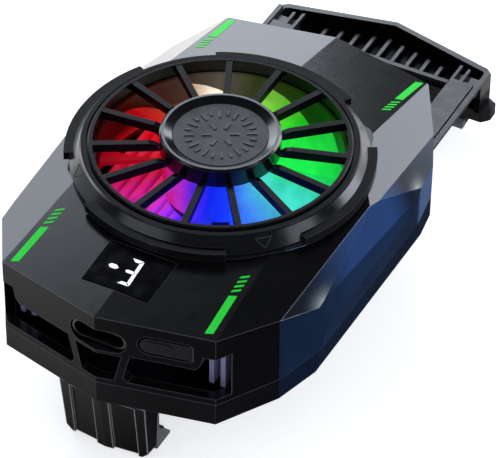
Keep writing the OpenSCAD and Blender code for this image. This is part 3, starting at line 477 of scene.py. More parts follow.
grille = Finish("grille_black")
polish = grille.spread_mm(grille.from_axis(), *HUB_RADIUS, 1.0, 0.0)
grille_black = grille.clouds(dark=(0.004, 0.004, 0.005), light=(0.007, 0.007, 0.008))
grille_rough = grille.blend(polish, SPOKE_ROUGH, HUB_ROUGH)
# The edge colour is a painted highlight on the rounded edges of spokes and hub.
grille.set(Base_Color=grille.worn(grille_black, edge=(0.05, 0.052, 0.058), radius_mm=0.1),
           Roughness=grille.math("ADD", grille.gloss(least=-0.03, most=0.03), grille_rough),
           Specular_IOR_Level=grille.blend(polish, SPOKE_SHINE, HUB_SHINE))
grille.grain(depth_mm=0.002)
paint(grille.material, "fan_grille")
print("grille finish:", len(grille.tree.nodes), "nodes")

# %% [markdown]
# ## Clamp frame
# Arms, ribs and rim are satin, with a painted highlight on their edges. The pan under the ribs lies in their
# shadow, and that shade is painted: the pan is black and dull. The inner face of the outer wall is black and
# dull too. A painted map could part them, but it would need unwrapping. The frame slides along Y, and the
# shader knows places in the room only, so the masks use height and direction, which the slide doesn't change.

# %% Clamp frame
PAN_Z = (-1.45, -0.9)
INNER_WALL_NY = (-0.9, -0.96)
PAN_SHADE_AND_WALL_BLACK = (0.003, 0.003, 0.004)
PAN_SHINE = 0.06
SATIN_SHINE = 0.6
INNER_WALL_SHINE = 0.2

clamp = Finish("clamp_grey")
above_pan = clamp.spread_mm(clamp.split(clamp.position)[2], *PAN_Z)
inner_wall = clamp.spread(clamp.split(clamp.normal)[1], *INNER_WALL_NY)
satin = clamp.clouds(dark=(0.014, 0.015, 0.018), light=(0.022, 0.023, 0.027))
# Painted highlight on the rounded edges.
satin = clamp.worn(satin, edge=(0.10, 0.102, 0.108), radius_mm=0.1)
# Painted shade on the pan, and black on the inner face of the outer wall.
clamp_tone = clamp.mix(inner_wall, clamp.mix(above_pan, PAN_SHADE_AND_WALL_BLACK, satin), PAN_SHADE_AND_WALL_BLACK)
clamp_shine = clamp.math("MULTIPLY", clamp.blend(above_pan, PAN_SHINE, SATIN_SHINE),
                         clamp.blend(inner_wall, 1.0, INNER_WALL_SHINE))
clamp.set(Base_Color=clamp_tone, Roughness=clamp.gloss(least=0.25, most=0.35),
          Specular_IOR_Level=clamp_shine)
clamp.grain(depth_mm=0.01)
paint(clamp.material, "clamp_frame")
print("clamp finish:", len(clamp.tree.nodes), "nodes")

# %% [markdown]
# ## Bezel
# The ring round the fan has a polished cone and dull flat steps. Both are one solid, and two materials would
# have to be given face by face, so the finish asks how far up each face looks.

# %% Bezel
STEP_NZ = (0.75, 0.95)
STEP_BLACK = (0.003, 0.003, 0.004)
CONE_SHINE = 0.54
STEP_SHINE = 0.05

bezel = Finish("bezel_gloss")
bezel_nz = bezel.split(bezel.normal)[2]
cone_black = bezel.clouds(dark=(0.006, 0.006, 0.008), light=(0.010, 0.010, 0.012))
bezel_black = bezel.mix(bezel.spread(bezel_nz, *STEP_NZ), cone_black, STEP_BLACK)
# The edge colour is a painted highlight on the ring's rounded edges.
bezel.set(Base_Color=bezel.worn(bezel_black, edge=(0.05, 0.052, 0.058), radius_mm=0.14),
          Roughness=bezel.gloss(least=0.15, most=0.24),
          Specular_IOR_Level=bezel.spread(bezel_nz, *STEP_NZ, CONE_SHINE, STEP_SHINE))
bezel.grain(depth_mm=0.003)
paint(bezel.material, "bezel_ring")
print("bezel finish:", len(bezel.tree.nodes), "nodes")

# %% [markdown]
# ## Housing: which face is which
# The roof is charcoal and the sides are lacquered blue, on one solid. Face sets would need the mesh's own
# numbering, which changes with the CAD model. Direction and place don't, so masks from the normal and the
# position tell roof, sides and upper bevel apart.

# %% Housing masks
SIDE_X = (18.2, 18.6)
SHOULDER_Y = (-25.7, -25.4)
SIDE_NX = (0.6, 0.78)
UPRIGHT_NZ = (0.85, 0.6)
BEVEL_NZ = (0.08, 0.26)
UPPER_NZ = (0.3, 0.36)
BEVEL_Y = (-24, 26)
REAR_PANEL_Y = (15.0, 16.6)
CREASE_Z = (13.8, 14.8)

shell = Finish("shell_lacquer")
shell_nx, _, shell_nz = shell.split(shell.normal)
shell_x, shell_y, shell_z = shell.split(shell.position)
across = shell.math("ABSOLUTE", shell_x)
outboard = shell.math("MULTIPLY", shell.spread_mm(across, *SIDE_X), shell.spread_mm(shell_y, *SHOULDER_Y))
sideways = shell.math("MULTIPLY", outboard, shell.spread(shell.math("ABSOLUTE", shell_nx), *SIDE_NX))
upright = shell.spread(shell_nz, *UPRIGHT_NZ)
up_bevel = shell.spread(shell_nz, *BEVEL_NZ)
upper = shell.spread(shell_nz, *UPPER_NZ)
along_bevel = shell.spread_mm(shell_y, *BEVEL_Y)
rear_panel = shell.spread_mm(shell_y, *REAR_PANEL_Y)
print("housing masks:", len(shell.tree.nodes), "nodes")

# %% [markdown]
# ## Housing: lacquer, painted shade and sheens
# The sides are lacquered blue. On the upper bevel, light and shade are painted into the colour: it is blue in
# the middle and nearly black towards the ends, with a painted sheen at each of its lower corners. The rear
# panel's paler blue is painted light too. Lamps could give sheens, but they would light other facets too, so
# the sheens are colour that fades with the distance from two places. Folding X makes both sides alike.

# %% Housing lacquer
SHEENS = [((25.9, -16.4, 13.3), 4.2), ((26.3, 15.3, 11.7), 3.6)]
SHEEN_STRETCH = 0.6
SHEEN_POWER = 3.4
SHEEN_COLOUR = (0.50, 0.54, 0.57)
REAR_PANEL_PAINTED_LIGHT = (0.09, 0.155, 0.31)
BEVEL_BLUES_AND_SHADE = [(0.0, (0.008, 0.011, 0.018)), (0.17, (0.010, 0.020, 0.040)), (0.36, (0.024, 0.066, 0.20)),
               (0.62, (0.026, 0.068, 0.21)), (0.74, (0.010, 0.018, 0.036)), (1.0, (0.05, 0.07, 0.11))]
LACQUER_CLOUDS = {"per_mm": 0.1, "detail": 4}

folded = shell.join(across, shell.math("MULTIPLY", shell_y, SHEEN_STRETCH), shell_z)
sheens = 0.0
for (x, y, z), reach in SHEENS:
    gap = shell.vector_math("DISTANCE", folded, Vector((x, y * SHEEN_STRETCH, z)) * MM)
    fade = shell.spread_mm(gap, 0.0, reach, 1.0, 0.0)
    sheens = shell.math("MAXIMUM", sheens, shell.math("POWER", fade, SHEEN_POWER))

lacquer_clouds = shell.noise(**LACQUER_CLOUDS)
roof = shell.tint(lacquer_clouds, dark=(0.003, 0.003, 0.004), light=(0.006, 0.006, 0.007))
low_side = shell.tint(lacquer_clouds, dark=(0.006, 0.018, 0.050), light=(0.009, 0.026, 0.070))
# The rear panel's paler blue is painted light.
low_side = shell.mix(rear_panel, low_side, REAR_PANEL_PAINTED_LIGHT)
# Painted shade darkens the bevel towards its ends, and painted sheens lighten its lower corners.
bevel = shell.ramp(along_bevel, BEVEL_BLUES_AND_SHADE)
bevel = shell.mix(shell.math("MULTIPLY", sheens, upper), bevel, SHEEN_COLOUR)
lacquer_and_painted_light = shell.mix(sideways, roof, shell.mix(up_bevel, low_side, bevel))
print("lacquer:", len(BEVEL_BLUES_AND_SHADE), "blues and", len(SHEENS), "sheens")

# %% [markdown]
# ## Housing: edges and gloss
# The edges catch light as thin lines: grey on the roof, blue on the sides and nearly white on the crease
# above the bevel. Rounding the mesh would give them too, but the CAD meshes stay as they are, so the lines
# are painted highlights on the rounded-edge mask. Upright faces are duller than the roof, so the front stays
# black.

# %% Housing edges
ROOF_EDGE_HIGHLIGHT = (0.11, 0.113, 0.12)
SIDE_EDGE_HIGHLIGHT = (0.05, 0.08, 0.14)
CREASE_HIGHLIGHT = (0.80, 0.84, 0.90)
ROOF_SHINE = 0.46
UPRIGHT_SHINE = 0.16

# Painted highlights: grey edges on the roof, blue on the sides, nearly white on the crease.
blue_edge_highlight = shell.mix(shell.spread_mm(shell_z, *CREASE_Z), SIDE_EDGE_HIGHLIGHT, CREASE_HIGHLIGHT)
shell_edge_highlight = shell.mix(sideways, ROOF_EDGE_HIGHLIGHT, blue_edge_highlight)
shell.set(Base_Color=shell.worn(lacquer_and_painted_light, shell_edge_highlight, radius_mm=0.16),
          Roughness=shell.gloss(least=0.16, most=0.19),
          Specular_IOR_Level=shell.blend(upright, ROOF_SHINE, UPRIGHT_SHINE))
shell.grain(depth_mm=0.006)
paint(shell.material, "top_cover")
print("housing finish:", len(shell.tree.nodes), "nodes")

# %% [markdown]
# ## Tray
# The lower cover continues the housing: black in front, navy on the sides. Two materials would need the mesh
# to be parted where they meet, so it uses the same kind of masks as the housing, with its own limit across.
# Its rounded edges carry painted highlights, as the housing's do.

# %% Tray
TRAY_X = (20.5, 21.0)
TRAY_EDGE_HIGHLIGHT = (0.065, 0.067, 0.07)
NAVY_EDGE_HIGHLIGHT = (0.03, 0.05, 0.09)
TRAY_SHINE = 0.25
NAVY_SHINE = 0.12

tray = Finish("tray_black")
tray_nx = tray.split(tray.normal)[0]
tray_x, tray_y = tray.split(tray.position)[:2]
tray_side = tray.math("MULTIPLY", tray.spread(tray.math("ABSOLUTE", tray_nx), *SIDE_NX),
                      tray.spread_mm(tray_y, *SHOULDER_Y))
navy = tray.math("MULTIPLY", tray_side, tray.spread_mm(tray.math("ABSOLUTE", tray_x), *TRAY_X))
tray_black = tray.clouds(dark=(0.004, 0.004, 0.005), light=(0.008, 0.008, 0.010))
tray_navy = tray.clouds(dark=(0.004, 0.012, 0.034), light=(0.006, 0.017, 0.046))
# Painted highlights on the rounded edges, grey in front and navy on the sides.
tray_edge_highlight = tray.mix(navy, TRAY_EDGE_HIGHLIGHT, NAVY_EDGE_HIGHLIGHT)
tray.set(Base_Color=tray.worn(tray.mix(navy, tray_black, tray_navy), tray_edge_highlight, radius_mm=0.14),
         Roughness=tray.gloss(least=0.29, most=0.39),
         Specular_IOR_Level=tray.blend(navy, TRAY_SHINE, NAVY_SHINE))
tray.grain(depth_mm=0.01)
paint(tray.material, "bottom_cover")
print("tray finish:", len(tray.tree.nodes), "nodes")

# %% [markdown]
# ## Light in the fan well
# Diodes of several colours shine through a clear ring on the blades and fins. Small lamps in the well would
# be slow and noisy to render, so the surfaces glow by themselves. The colour depends on the direction from
# the fan's axis. The diodes don't turn with the fan, so the finish reads the place in the room and not the
# place on the blade. The blades themselves are dark, so that no lamp bleaches the glow.

# %% Glow by direction
GLOW = [(0.00, (0.05, 0.78, 0.58)), (0.03, (0.01, 0.93, 0.12)), (0.07, (0.01, 0.95, 0.09)),
        (0.20, (0.02, 0.78, 0.02)), (0.28, (0.40, 0.70, 0.08)), (0.33, (1.80, 1.65, 1.35)),
        (0.365, (0.90, 0.62, 0.42)), (0.41, (0.60, 0.04, 0.02)), (0.47, (0.60, 0.00, 0.005)),
        (0.595, (0.38, 0.00, 0.01)), (0.65, (0.58, 0.010, 0.20)), (0.70, (0.50, 0.025, 0.52)),
        (0.75, (0.10, 0.02, 0.90)), (0.80, (0.005, 0.02, 1.00)), (0.85, (0.01, 0.05, 1.00)),
        (0.89, (0.06, 0.28, 1.00)), (0.95, (0.08, 0.80, 0.70)), (1.00, (0.05, 0.78, 0.58))]
RIM_RADIUS = (14, 18.4)
RIM_GLOW = 0.65
VEINS = {"per_mm": 0.35, "detail": 4}
LIT_GRAIN = {"per_mm": 6.0, "detail": 2}
LIT_SHINE = 0.12


def glow_colour(finish, centre=(0, 0)):
    """The colour of a direction from a centre in plan. GLOW is in turns from +X."""
    x, y = finish.split(finish.position)[:2]
    turn_x = finish.math("SUBTRACT", x, centre[0] * MM)
    turn_y = finish.math("SUBTRACT", y, centre[1] * MM)
    heading = finish.spread(finish.math("ARCTAN2", turn_y, turn_x), -math.pi, math.pi, 0.5, 1.5)
    return finish.ramp(finish.math("FRACT", heading), GLOW)


def lit(name, base, rough, heights, strengths):
    """A finish that glows in the colour of its direction, with strengths for a lower and an upper height."""
    finish = Finish(name)
    veins = finish.vary(finish.noise(**VEINS), least=0.8, most=1.1)
    strength = finish.spread_mm(finish.split(finish.position)[2], *heights, *strengths)
    fading = finish.spread_mm(finish.from_axis(), *RIM_RADIUS, 1.0, RIM_GLOW)
    glow = finish.math("MULTIPLY", veins, finish.math("MULTIPLY", strength, fading))
    finish.set(Base_Color=base, Roughness=rough, Specular_IOR_Level=LIT_SHINE,
               Emission_Color=glow_colour(finish), Emission_Strength=glow)
    finish.bump(finish.noise(**LIT_GRAIN), depth_mm=0.01)
    return finish.material


paint(lit("lit_blades", base=(0.01, 0.01, 0.012), rough=0.35, heights=(13.0, 19.7), strengths=(1.05, 0.9)),
      "fan_impeller")
paint(lit("lit_guide", base=(0.03, 0.012, 0.008), rough=0.35, heights=(12.9, 15.0), strengths=(0.9, 0.05)),
      "light_guide")
paint(lit("lit_diodes", base=(0.8, 0.8, 0.8), rough=0.3, heights=(12.0, 14.0), strengths=(3.0, 3.0)),
      "light_diodes")
print("glow:", len(GLOW), "colours round the axis")

# %% [markdown]
# ## Fins
# The heat sink is anodised, pale violet where it shows in the corner vent, and lit from above under the fan.
# Lamps could light it, but it glows by itself, as the blades do. It lies below them, so its colours turn
# about a point a little off the axis, which lines them up with those on the blades for the camera.

# %% Fins
FIN_CENTRE = (-2.8, 5.3)
FIN_STRETCH = (4, 0.2, 4)
FIN_LIT_RADIUS = (21, 18.5)
FIN_LIT_Z = (9, 11.6)
FIN_GLOW = 0.9

fins = Finish("anodised_fins")
fin_lines = fins.noise(**LINES, stretch=FIN_STRETCH)
under_fan = fins.math("MULTIPLY", fins.spread_mm(fins.from_axis(), *FIN_LIT_RADIUS),
                      fins.spread_mm(fins.split(fins.position)[2], *FIN_LIT_Z))
violet = fins.tint(fin_lines, dark=(0.46, 0.45, 0.76), light=(0.56, 0.55, 0.88))
fins.set(Base_Color=violet, Metallic=0.3, Roughness=fins.vary(fin_lines, least=0.3, most=0.42),
         Emission_Color=glow_colour(fins, FIN_CENTRE),
         Emission_Strength=fins.math("MULTIPLY", under_fan, FIN_GLOW))
fins.bump(fin_lines, LINE_DEPTH, LINE_STRENGTH)
paint(fins.material, "heat_sink")
print("fin finish:", len(fins.tree.nodes), "nodes")

# %% [markdown]
# ## Printed and lit marks
# The stripes, the display's strokes, the small triangles on the bezel and the ring of ticks on the hub are
# thin slabs. Each corner is found by casting a ray onto the solid that carries it, so a mark lies on its
# facet from every side. A texture would be shorter, but it would smear over the creases.

# %% Marks on surfaces
RAY_HEIGHT = 60
INK_GRAIN = {"per_mm": 4.0, "detail": 3}
INK_STOPS = (0.25, 0.75)
INK_SHADE = 0.82
INK_ROUGH = (0.39, 0.51)
INK_SHINE = 0.15

bpy.context.view_layer.update()


def surface(name):
    """A search tree over one solid's faces."""
    part = nodes[name]
    points = [part.matrix_world @ v.co for v in part.data.vertices]
    return BVHTree.FromPolygons(points, [list(p.vertices) for p in part.data.polygons])


def from_above(tree):
    """A finder of the point and normal on a surface under a place in plan."""
    def find(x, y):
        return tree.ray_cast(Vector((x, y, RAY_HEIGHT)) * MM, Vector((0, 0, -1)))[:2]
    return find


def new_piece(name, mesh, body, material):
    """Turn mesh code into an object that rides on a body."""
    bmesh.ops.recalc_face_normals(mesh, faces=mesh.faces)
    data = bpy.data.meshes.new(name)
    mesh.to_mesh(data)
    mesh.free()
    data.materials.append(material)
    piece = bpy.data.objects.new(name, data)
    bpy.context.collection.objects.link(piece)
    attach(piece, body)
    return piece


def slabs(name, body, find, outlines, material, proud=0.05, sunk=0.03):
    """Thin closed prisms on a surface, one for each outline of places."""
    mesh = bmesh.new()
    for outline in outlines:
        found = [find(*place) for place in outline]
        top = [mesh.verts.new(point + normal * proud * MM) for point, normal in found]
        low = [mesh.verts.new(point - normal * sunk * MM) for point, normal in found]
        mesh.faces.new(top)
        mesh.faces.new(low[::-1])
        for i in range(len(top)):
            j = (i + 1) % len(top)
            mesh.faces.new((top[i], low[i], low[j], top[j]))
    new_piece(name, mesh, body, material)
    print(name + ":", len(outlines), "slabs on", body)


def ink(name, colour, glow):
    """Opaque ink with a fine print grain that may also glow."""
    finish = Finish(name)
    print_grain = finish.noise(**INK_GRAIN)
    shade = tuple(INK_SHADE * c for c in colour)
    tint = finish.ramp(print_grain, list(zip(INK_STOPS, (shade, colour))))
    finish.set(Base_Color=tint, Roughness=finish.vary(print_grain, *INK_ROUGH),
               Specular_IOR_Level=INK_SHINE, Emission_Color=tint, Emission_Strength=glow)
    finish.bump(print_grain, depth_mm=0.005)
    return finish.material


print("mark helpers ready, rays start at", RAY_HEIGHT, "mm")

# %% [markdown]
# ### Stripes
# Two pairs of green bars run along the roof, each with four short slanted ticks towards the fan. They follow
# the roof's creases, which lean a little, and all ends are cut on a slant. Each stripe could be drawn by
# hand, but a line with a lean gives all of them from a few values.

# %% Stripes
FRONT_LINE = {"x": 16.3, "lean": -0.05, "at_y": -34}
REAR_LINE = {"x": 16.5, "lean": 0.03, "at_y": 24}
FRONT_BAR_Y = (-33.9, -25.8)
REAR_BAR_Y = (28.2, 35.4)
FRONT_TICK_Y = -24.9
REAR_TICK_Y = 26.8
TICKS = 4
TICK_PITCH = 1.0
TICK_LENGTH = 0.45
BAR_WIDTH = 1.15
BAR_SLANT = 0.25
TICK_SLANT = 0.42


def slanted(side, line, y_low, y_high, slant):
    """The corners of a bar on a leaning line. Side is -1 for left and 1 for right."""
    low, high = (side * (line["x"] + line["lean"] * (y - line["at_y"])) for y in (y_low, y_high))
    half = BAR_WIDTH / 2
    return [(low - half, y_low - slant), (low + half, y_low + slant),
            (high + half, y_high + slant), (high - half, y_high - slant)]


stripes = []
for side in (-1, 1):
    stripes.append(slanted(side, FRONT_LINE, *FRONT_BAR_Y, BAR_SLANT))
    stripes.append(slanted(side, REAR_LINE, *REAR_BAR_Y, BAR_SLANT))
    for i in range(TICKS):
        front_y = FRONT_TICK_Y + TICK_PITCH * i
        rear_y = REAR_TICK_Y - TICK_PITCH * i
        stripes.append(slanted(side, FRONT_LINE, front_y, front_y + TICK_LENGTH, TICK_SLANT))
        stripes.append(slanted(side, REAR_LINE, rear_y, rear_y + TICK_LENGTH, TICK_SLANT))
stripe_green = ink("stripe_green", (0.01, 0.62, 0.035), glow=0.35)
slabs("stripes", "housing", from_above(surface("top_cover")), stripes, stripe_green)

# %% [markdown]
# ### Display
# The window shows a dash and one digit in seven-segment strokes. The level strokes of the middle row have
# points, and the outer strokes meet in mitres with a thin gap. A font would be easy, but its digits are
# round, so the strokes are built from the digit's width, its rows and its lean.

# %% Display strokes
DIGIT_LEFT = -0.58
DIGIT_RIGHT = 1.32
DIGIT_TOP = -26.24
DIGIT_ROW = 2.4
DIGIT_LEAN = 0.045
DIGIT_STROKE = 0.55
SEGMENT_GAP = 0.12
DASH_LEFT = -3.41
DASH_RIGHT = -1.75
DASH_STROKE = 0.8


def pointed(left, right, width):
    """A level stroke on the middle row, with a point at both ends. Places are across and down."""
    half = width / 2
    high, low = DIGIT_ROW - half, DIGIT_ROW + half
    return [(left, DIGIT_ROW), (left + half, high), (right - half, high), (right, DIGIT_ROW),
            (right - half, low), (left + half, low)]


def leaning(outline):
    """Turn places across and down the digit into places on the window."""
    return [(x + DIGIT_LEAN * down, DIGIT_TOP - down) for x, down in outline]


half_stroke = DIGIT_STROKE / 2
inner_right = DIGIT_RIGHT - DIGIT_STROKE
upright_end = DIGIT_ROW - SEGMENT_GAP / 2
level_stroke = [(DIGIT_LEFT, -half_stroke), (DIGIT_RIGHT - SEGMENT_GAP, -half_stroke),
                (inner_right - SEGMENT_GAP, half_stroke), (DIGIT_LEFT + DIGIT_STROKE, half_stroke)]
upright_stroke = [(DIGIT_RIGHT, SEGMENT_GAP - half_stroke), (DIGIT_RIGHT, upright_end),
                  (DIGIT_RIGHT - half_stroke, upright_end), (inner_right, upright_end - half_stroke),
                  (inner_right, half_stroke + SEGMENT_GAP)]
strokes = [pointed(DASH_LEFT, DASH_RIGHT, DASH_STROKE), level_stroke, upright_stroke,
           pointed(DIGIT_LEFT, DIGIT_RIGHT - half_stroke - SEGMENT_GAP, DIGIT_STROKE)]
strokes += [[(x, 2 * DIGIT_ROW - down) for x, down in outline] for outline in (level_stroke, upright_stroke)]
stroke_white = ink("stroke_white", (0.9, 0.92, 0.95), glow=0.9)
slabs("display_strokes", "housing", from_above(surface("display_window")),
      [leaning(outline) for outline in strokes], stroke_white, proud=0.03, sunk=0.02)

# %% [markdown]
# ### Bezel triangles
# Two small outlined triangles are printed on the bezel's cone. The rays come from outside, level with the
# mark, so that the lines lie on the cone. From above, the steep cone would stretch them. Each triangle is
# three ribbons.

# %% Bezel triangles
BEZEL_RADIUS = 22.2
RAY_RADIUS = 40
TRIANGLE = [(-1.3, 21.1), (1.3, 21.1), (0, 19.9)]
TRIANGLE_LINE = 0.14
TRIANGLE_HEADINGS = {"triangle_right": 315, "triangle_left": 223}


def from_outside(tree, heading):
    """A finder on the bezel for a place along its rim and a height."""
    def find(along, z):
        angle = math.radians(heading) + along / BEZEL_RADIUS
        away = Vector((math.cos(angle), math.sin(angle), 0))
        return tree.ray_cast(away * RAY_RADIUS * MM + Vector((0, 0, z * MM)), -away)[:2]
    return find


def ribbon(start, end, width):
    """The corners of a straight line of some width."""
    start, end = Vector(start), Vector(end)
    step = (end - start).normalized() * width / 2
    aside = Vector((-step.y, step.x))
    return [tuple(p) for p in (start - aside, end - aside, end + aside, start + aside)]


triangle_lines = [ribbon(TRIANGLE[i], TRIANGLE[(i + 1) % 3], TRIANGLE_LINE) for i in range(3)]
mark_grey = ink("mark_grey", (0.06, 0.06, 0.065), glow=0.0)
bezel_surface = surface("bezel_ring")
for name, heading in TRIANGLE_HEADINGS.items():
    slabs(name, "housing", from_outside(bezel_surface, heading), triangle_lines, mark_grey)

# %% [markdown]
# ### Hub ticks
# The hub disc carries a plain ring of raised ticks, long and short in turn, and six more near the middle.
# They are low and only a little paler than the disc, as raised plastic is. A bump in the shader would be
# shorter, but it has no sides to catch the light.

# %% Hub ticks
RING_TICKS = 24
RING_INNER = (4.0, 4.6)
RING_OUTER = 5.6
RING_TICK_WIDTH = 0.4
MIDDLE_TICKS = 6
MIDDLE_START = 30
MIDDLE_REACH = (1.4, 2.9)
MIDDLE_TICK_WIDTH = 0.5
TICK_HEIGHT = 0.12


def radial(heading, inner, outer, width):
    """A ribbon that points away from the fan's axis."""
    angle = math.radians(heading)
    away = Vector((math.cos(angle), math.sin(angle)))
    return ribbon(away * inner, away * outer, width)


hub_ticks = [radial(360 / RING_TICKS * i, RING_INNER[i % 2], RING_OUTER, RING_TICK_WIDTH)
             for i in range(RING_TICKS)]
hub_ticks += [radial(360 / MIDDLE_TICKS * i + MIDDLE_START, *MIDDLE_REACH, MIDDLE_TICK_WIDTH)
              for i in range(MIDDLE_TICKS)]
tick_grey = moulded("tick_grey", dark=(0.018, 0.018, 0.02), light=(0.028, 0.028, 0.031), rough=0.4)
slabs("hub_ticks", "housing", from_above(surface("hub_disc")), hub_ticks, tick_grey, proud=TICK_HEIGHT)

# %% [markdown]
# ## Rubber and foam
# The jaws' pads, the thermal pad and the foam seal are soft, so the plain CAD solids give way to moulded
# forms. Cloth simulation suits fabric, but these are firm rubber and foam with clear profiles, so each one is
# rings of points with a skin over them. A Bevel modifier then rounds the edges of the jaws.

# %% Sweeping helpers
def swept(mesh, stations, closed_ends=True):
    """Skin rings of equal length, one after another."""
    rings = [[mesh.verts.new(Vector(p) * MM) for p in ring] for ring in stations]
    for first, second in zip(rings, rings[1:]):
        for i in range(len(first)):
            j = (i + 1) % len(first)
            mesh.faces.new((first[i], first[j], second[j], second[i]))
    if closed_ends:
        mesh.faces.new(rings[0][::-1])
        mesh.faces.new(rings[-1])


def across_x(profile, face_y, stations):
    """The same profile at several places along X. It holds distances behind a face, and heights."""
    return [[(x, face_y + y, z) for y, z in profile] for x in stations]


def ribbed(low, high, ribs, depth, steps_per_rib=4):
    """Places down a face with shallow scallops, from its top to its foot."""
    places = []
    steps = ribs * steps_per_rib
    for i in range(steps + 1):
        share = i / steps
        scallop = depth * (0.5 - 0.5 * math.cos(2 * math.pi * ribs * share))
        places.append((scallop, high + (low - high) * share))
    return places


def rounded(piece, width, segments=3, angle=35):
    edge = piece.modifiers.new("rounded", "BEVEL")
    edge.width = width * MM
    edge.segments = segments
    edge.limit_method = "ANGLE"
    edge.angle_limit = math.radians(angle)


jaw_rubber = moulded("jaw_rubber", dark=(0.008, 0.008, 0.009), light=(0.016, 0.016, 0.018), rough=0.6,
                     grain_mm=0.04)
lip_rubber = moulded("lip_rubber", dark=(0.16, 0.165, 0.175), light=(0.24, 0.245, 0.255), rough=0.6,
                     grain_mm=0.04)
print("rubbers:", jaw_rubber.name, "and", lip_rubber.name)

# %% [markdown]
# ### Rear jaw
# The moving jaw is a block of black rubber in the V-shaped wall of the clamp, with ribs that bite on the
# phone, a knob at each end and a grey lip that hooks under the phone. A Boolean could cut a block to the V,
# but a sweep needs no cut: each of its rings is as deep as the wall allows there.

# %% Rear jaw
JAW_Y = 55.0
JAW_TOP = -2.2
JAW_FOOT = -8.4
JAW_STATIONS = range(-17, 18, 2)
JAW_RIBS = 6
JAW_RIB_DEPTH = 0.18
WALL_Y = 63.7
WALL_END_X = 18.6
WALL_SWEEP = 4.2
WALL_THICKNESS = 1.1
KNOB_PLAN = [(16.6, 0.05), (19.8, 0.05), (21.0, 1.4), (21.0, 3.4), (19.2, 4.4), (17.3, 3.9), (17.3, 2.5),
             (16.6, 2.0)]
KNOB_HEIGHTS = (-6.7, -5.9, -5.1, -4.3)
JAW_ROUNDING = 0.45
LIP_ROUNDING = 0.25
LIP_PROFILE = [(0.4, -7.1), (-0.1, -7.15), (-0.7, -7.6), (-1.0, -8.1), (-0.95, -8.45), (-0.6, -8.6),
               (0.4, -8.6)]

jaw_face = ribbed(JAW_FOOT, JAW_TOP, JAW_RIBS, JAW_RIB_DEPTH)
jaw_rings = across_x(jaw_face, JAW_Y, JAW_STATIONS)
for x, ring in zip(JAW_STATIONS, jaw_rings):
    back = WALL_Y - WALL_THICKNESS - WALL_SWEEP * abs(x) / WALL_END_X
    ring.extend([(x, back, JAW_FOOT), (x, back, JAW_TOP)])
rear = bmesh.new()
swept(rear, jaw_rings)
for side in (-1, 1):
    swept(rear, [[(side * x, JAW_Y + y, z) for x, y in KNOB_PLAN] for z in KNOB_HEIGHTS])
rear_jaw = new_piece("rear_jaw_rubber", rear, "clamp", jaw_rubber)
rounded(rear_jaw, JAW_ROUNDING)
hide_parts("rear_jaw_pad")

lip = bmesh.new()
swept(lip, across_x(LIP_PROFILE, JAW_Y, JAW_STATIONS))
rear_lip = new_piece("rear_lip", lip, "clamp", lip_rubber)
rounded(rear_lip, LIP_ROUNDING)
print("rear jaw:", len(rear_jaw.data.polygons), "faces, lip:", len(rear_lip.data.polygons), "faces")

# %% [markdown]
# ### Front jaw
# The fixed jaw on the leg is a grey wedge that hooks under the phone, with a strip of ribbed black rubber on
# it. One mesh could carry both rubbers, but two pieces keep each profile simple. The strip's profile runs
# down the ribs, along the slope of the wedge, and back inside it.

# %% Front jaw
FACE_Y = -32.6
WEDGE_HALF = 7.3
WEDGE_STATIONS = (-WEDGE_HALF, -WEDGE_HALF / 3, WEDGE_HALF / 3, WEDGE_HALF)
WEDGE_PROFILE = [(-0.95, -0.8), (-0.95, -10.95), (3.0, -10.95), (3.2, -10.75), (3.2, -10.5), (-0.1, -7.3),
                 (-0.2, -0.8)]
GRIP_STATIONS = (-6.6, -2.2, 2.2, 6.6)
GRIP_TOP = -1.1
GRIP_FOOT = -7.0
GRIP_RIBS = 6
GRIP_RIB_DEPTH = -0.16
GRIP_SLOPE = [(0.2, -7.15), (1.2, -8.1), (2.1, -8.9), (2.6, -9.45), (2.55, -9.9), (2.1, -9.9)]
GRIP_BACK = [(0.9, -8.6), (-0.15, -7.5), (-0.4, GRIP_FOOT), (-0.4, GRIP_TOP)]
FRONT_ROUNDING = 0.2

wedge = bmesh.new()
swept(wedge, across_x(WEDGE_PROFILE, FACE_Y, WEDGE_STATIONS))
front_wedge = new_piece("front_jaw_wedge", wedge, "housing", lip_rubber)
rounded(front_wedge, FRONT_ROUNDING)
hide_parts("front_jaw_pad")

grip = bmesh.new()
grip_profile = ribbed(GRIP_FOOT, GRIP_TOP, GRIP_RIBS, GRIP_RIB_DEPTH) + GRIP_SLOPE + GRIP_BACK
swept(grip, across_x(grip_profile, FACE_Y, GRIP_STATIONS))
front_grip = new_piece("front_jaw_grip", grip, "housing", jaw_rubber)
rounded(front_grip, FRONT_ROUNDING)
print("front jaw:", len(front_wedge.data.polygons), "and", len(front_grip.data.polygons), "faces")

# %% [markdown]
# ### Thermal pad
# The face that touches the phone is a thin soft pad with a crowned edge. A bevelled box would do, but four
# rounded rectangles, one above the other, give the crown without any modifier.

# %% Thermal pad
PAD_X = 13.0
PAD_Y = 16.5
PAD_CORNER = 1.5
PAD_RINGS = [(0.0, 0.3), (0.0, 0.08), (0.1, 0.02), (0.35, 0.0)]


def plan_ring(x, y, z, corner, steps=6):
    """A level rectangle with round corners, from half its sides."""
    places = []
    for right, back, start in ((1, 1, 0), (-1, 1, 90), (-1, -1, 180), (1, -1, 270)):
        for i in range(steps + 1):
            angle = math.radians(start + 90 * i / steps)
            places.append((right * (x - corner) + corner * math.cos(angle),
                           back * (y - corner) + corner * math.sin(angle), z))
    return places


soft_pad = moulded("soft_pad", dark=(0.20, 0.21, 0.23), light=(0.27, 0.28, 0.30), rough=0.65, grain_mm=0.05)
pad = bmesh.new()
swept(pad, [plan_ring(PAD_X - inset, PAD_Y - inset, z, PAD_CORNER) for inset, z in PAD_RINGS])
thermal_pad = new_piece("thermal_pad", pad, "housing", soft_pad)
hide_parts("cold_pad")
print("thermal pad:", 2 * PAD_X, "by", 2 * PAD_Y, "mm")

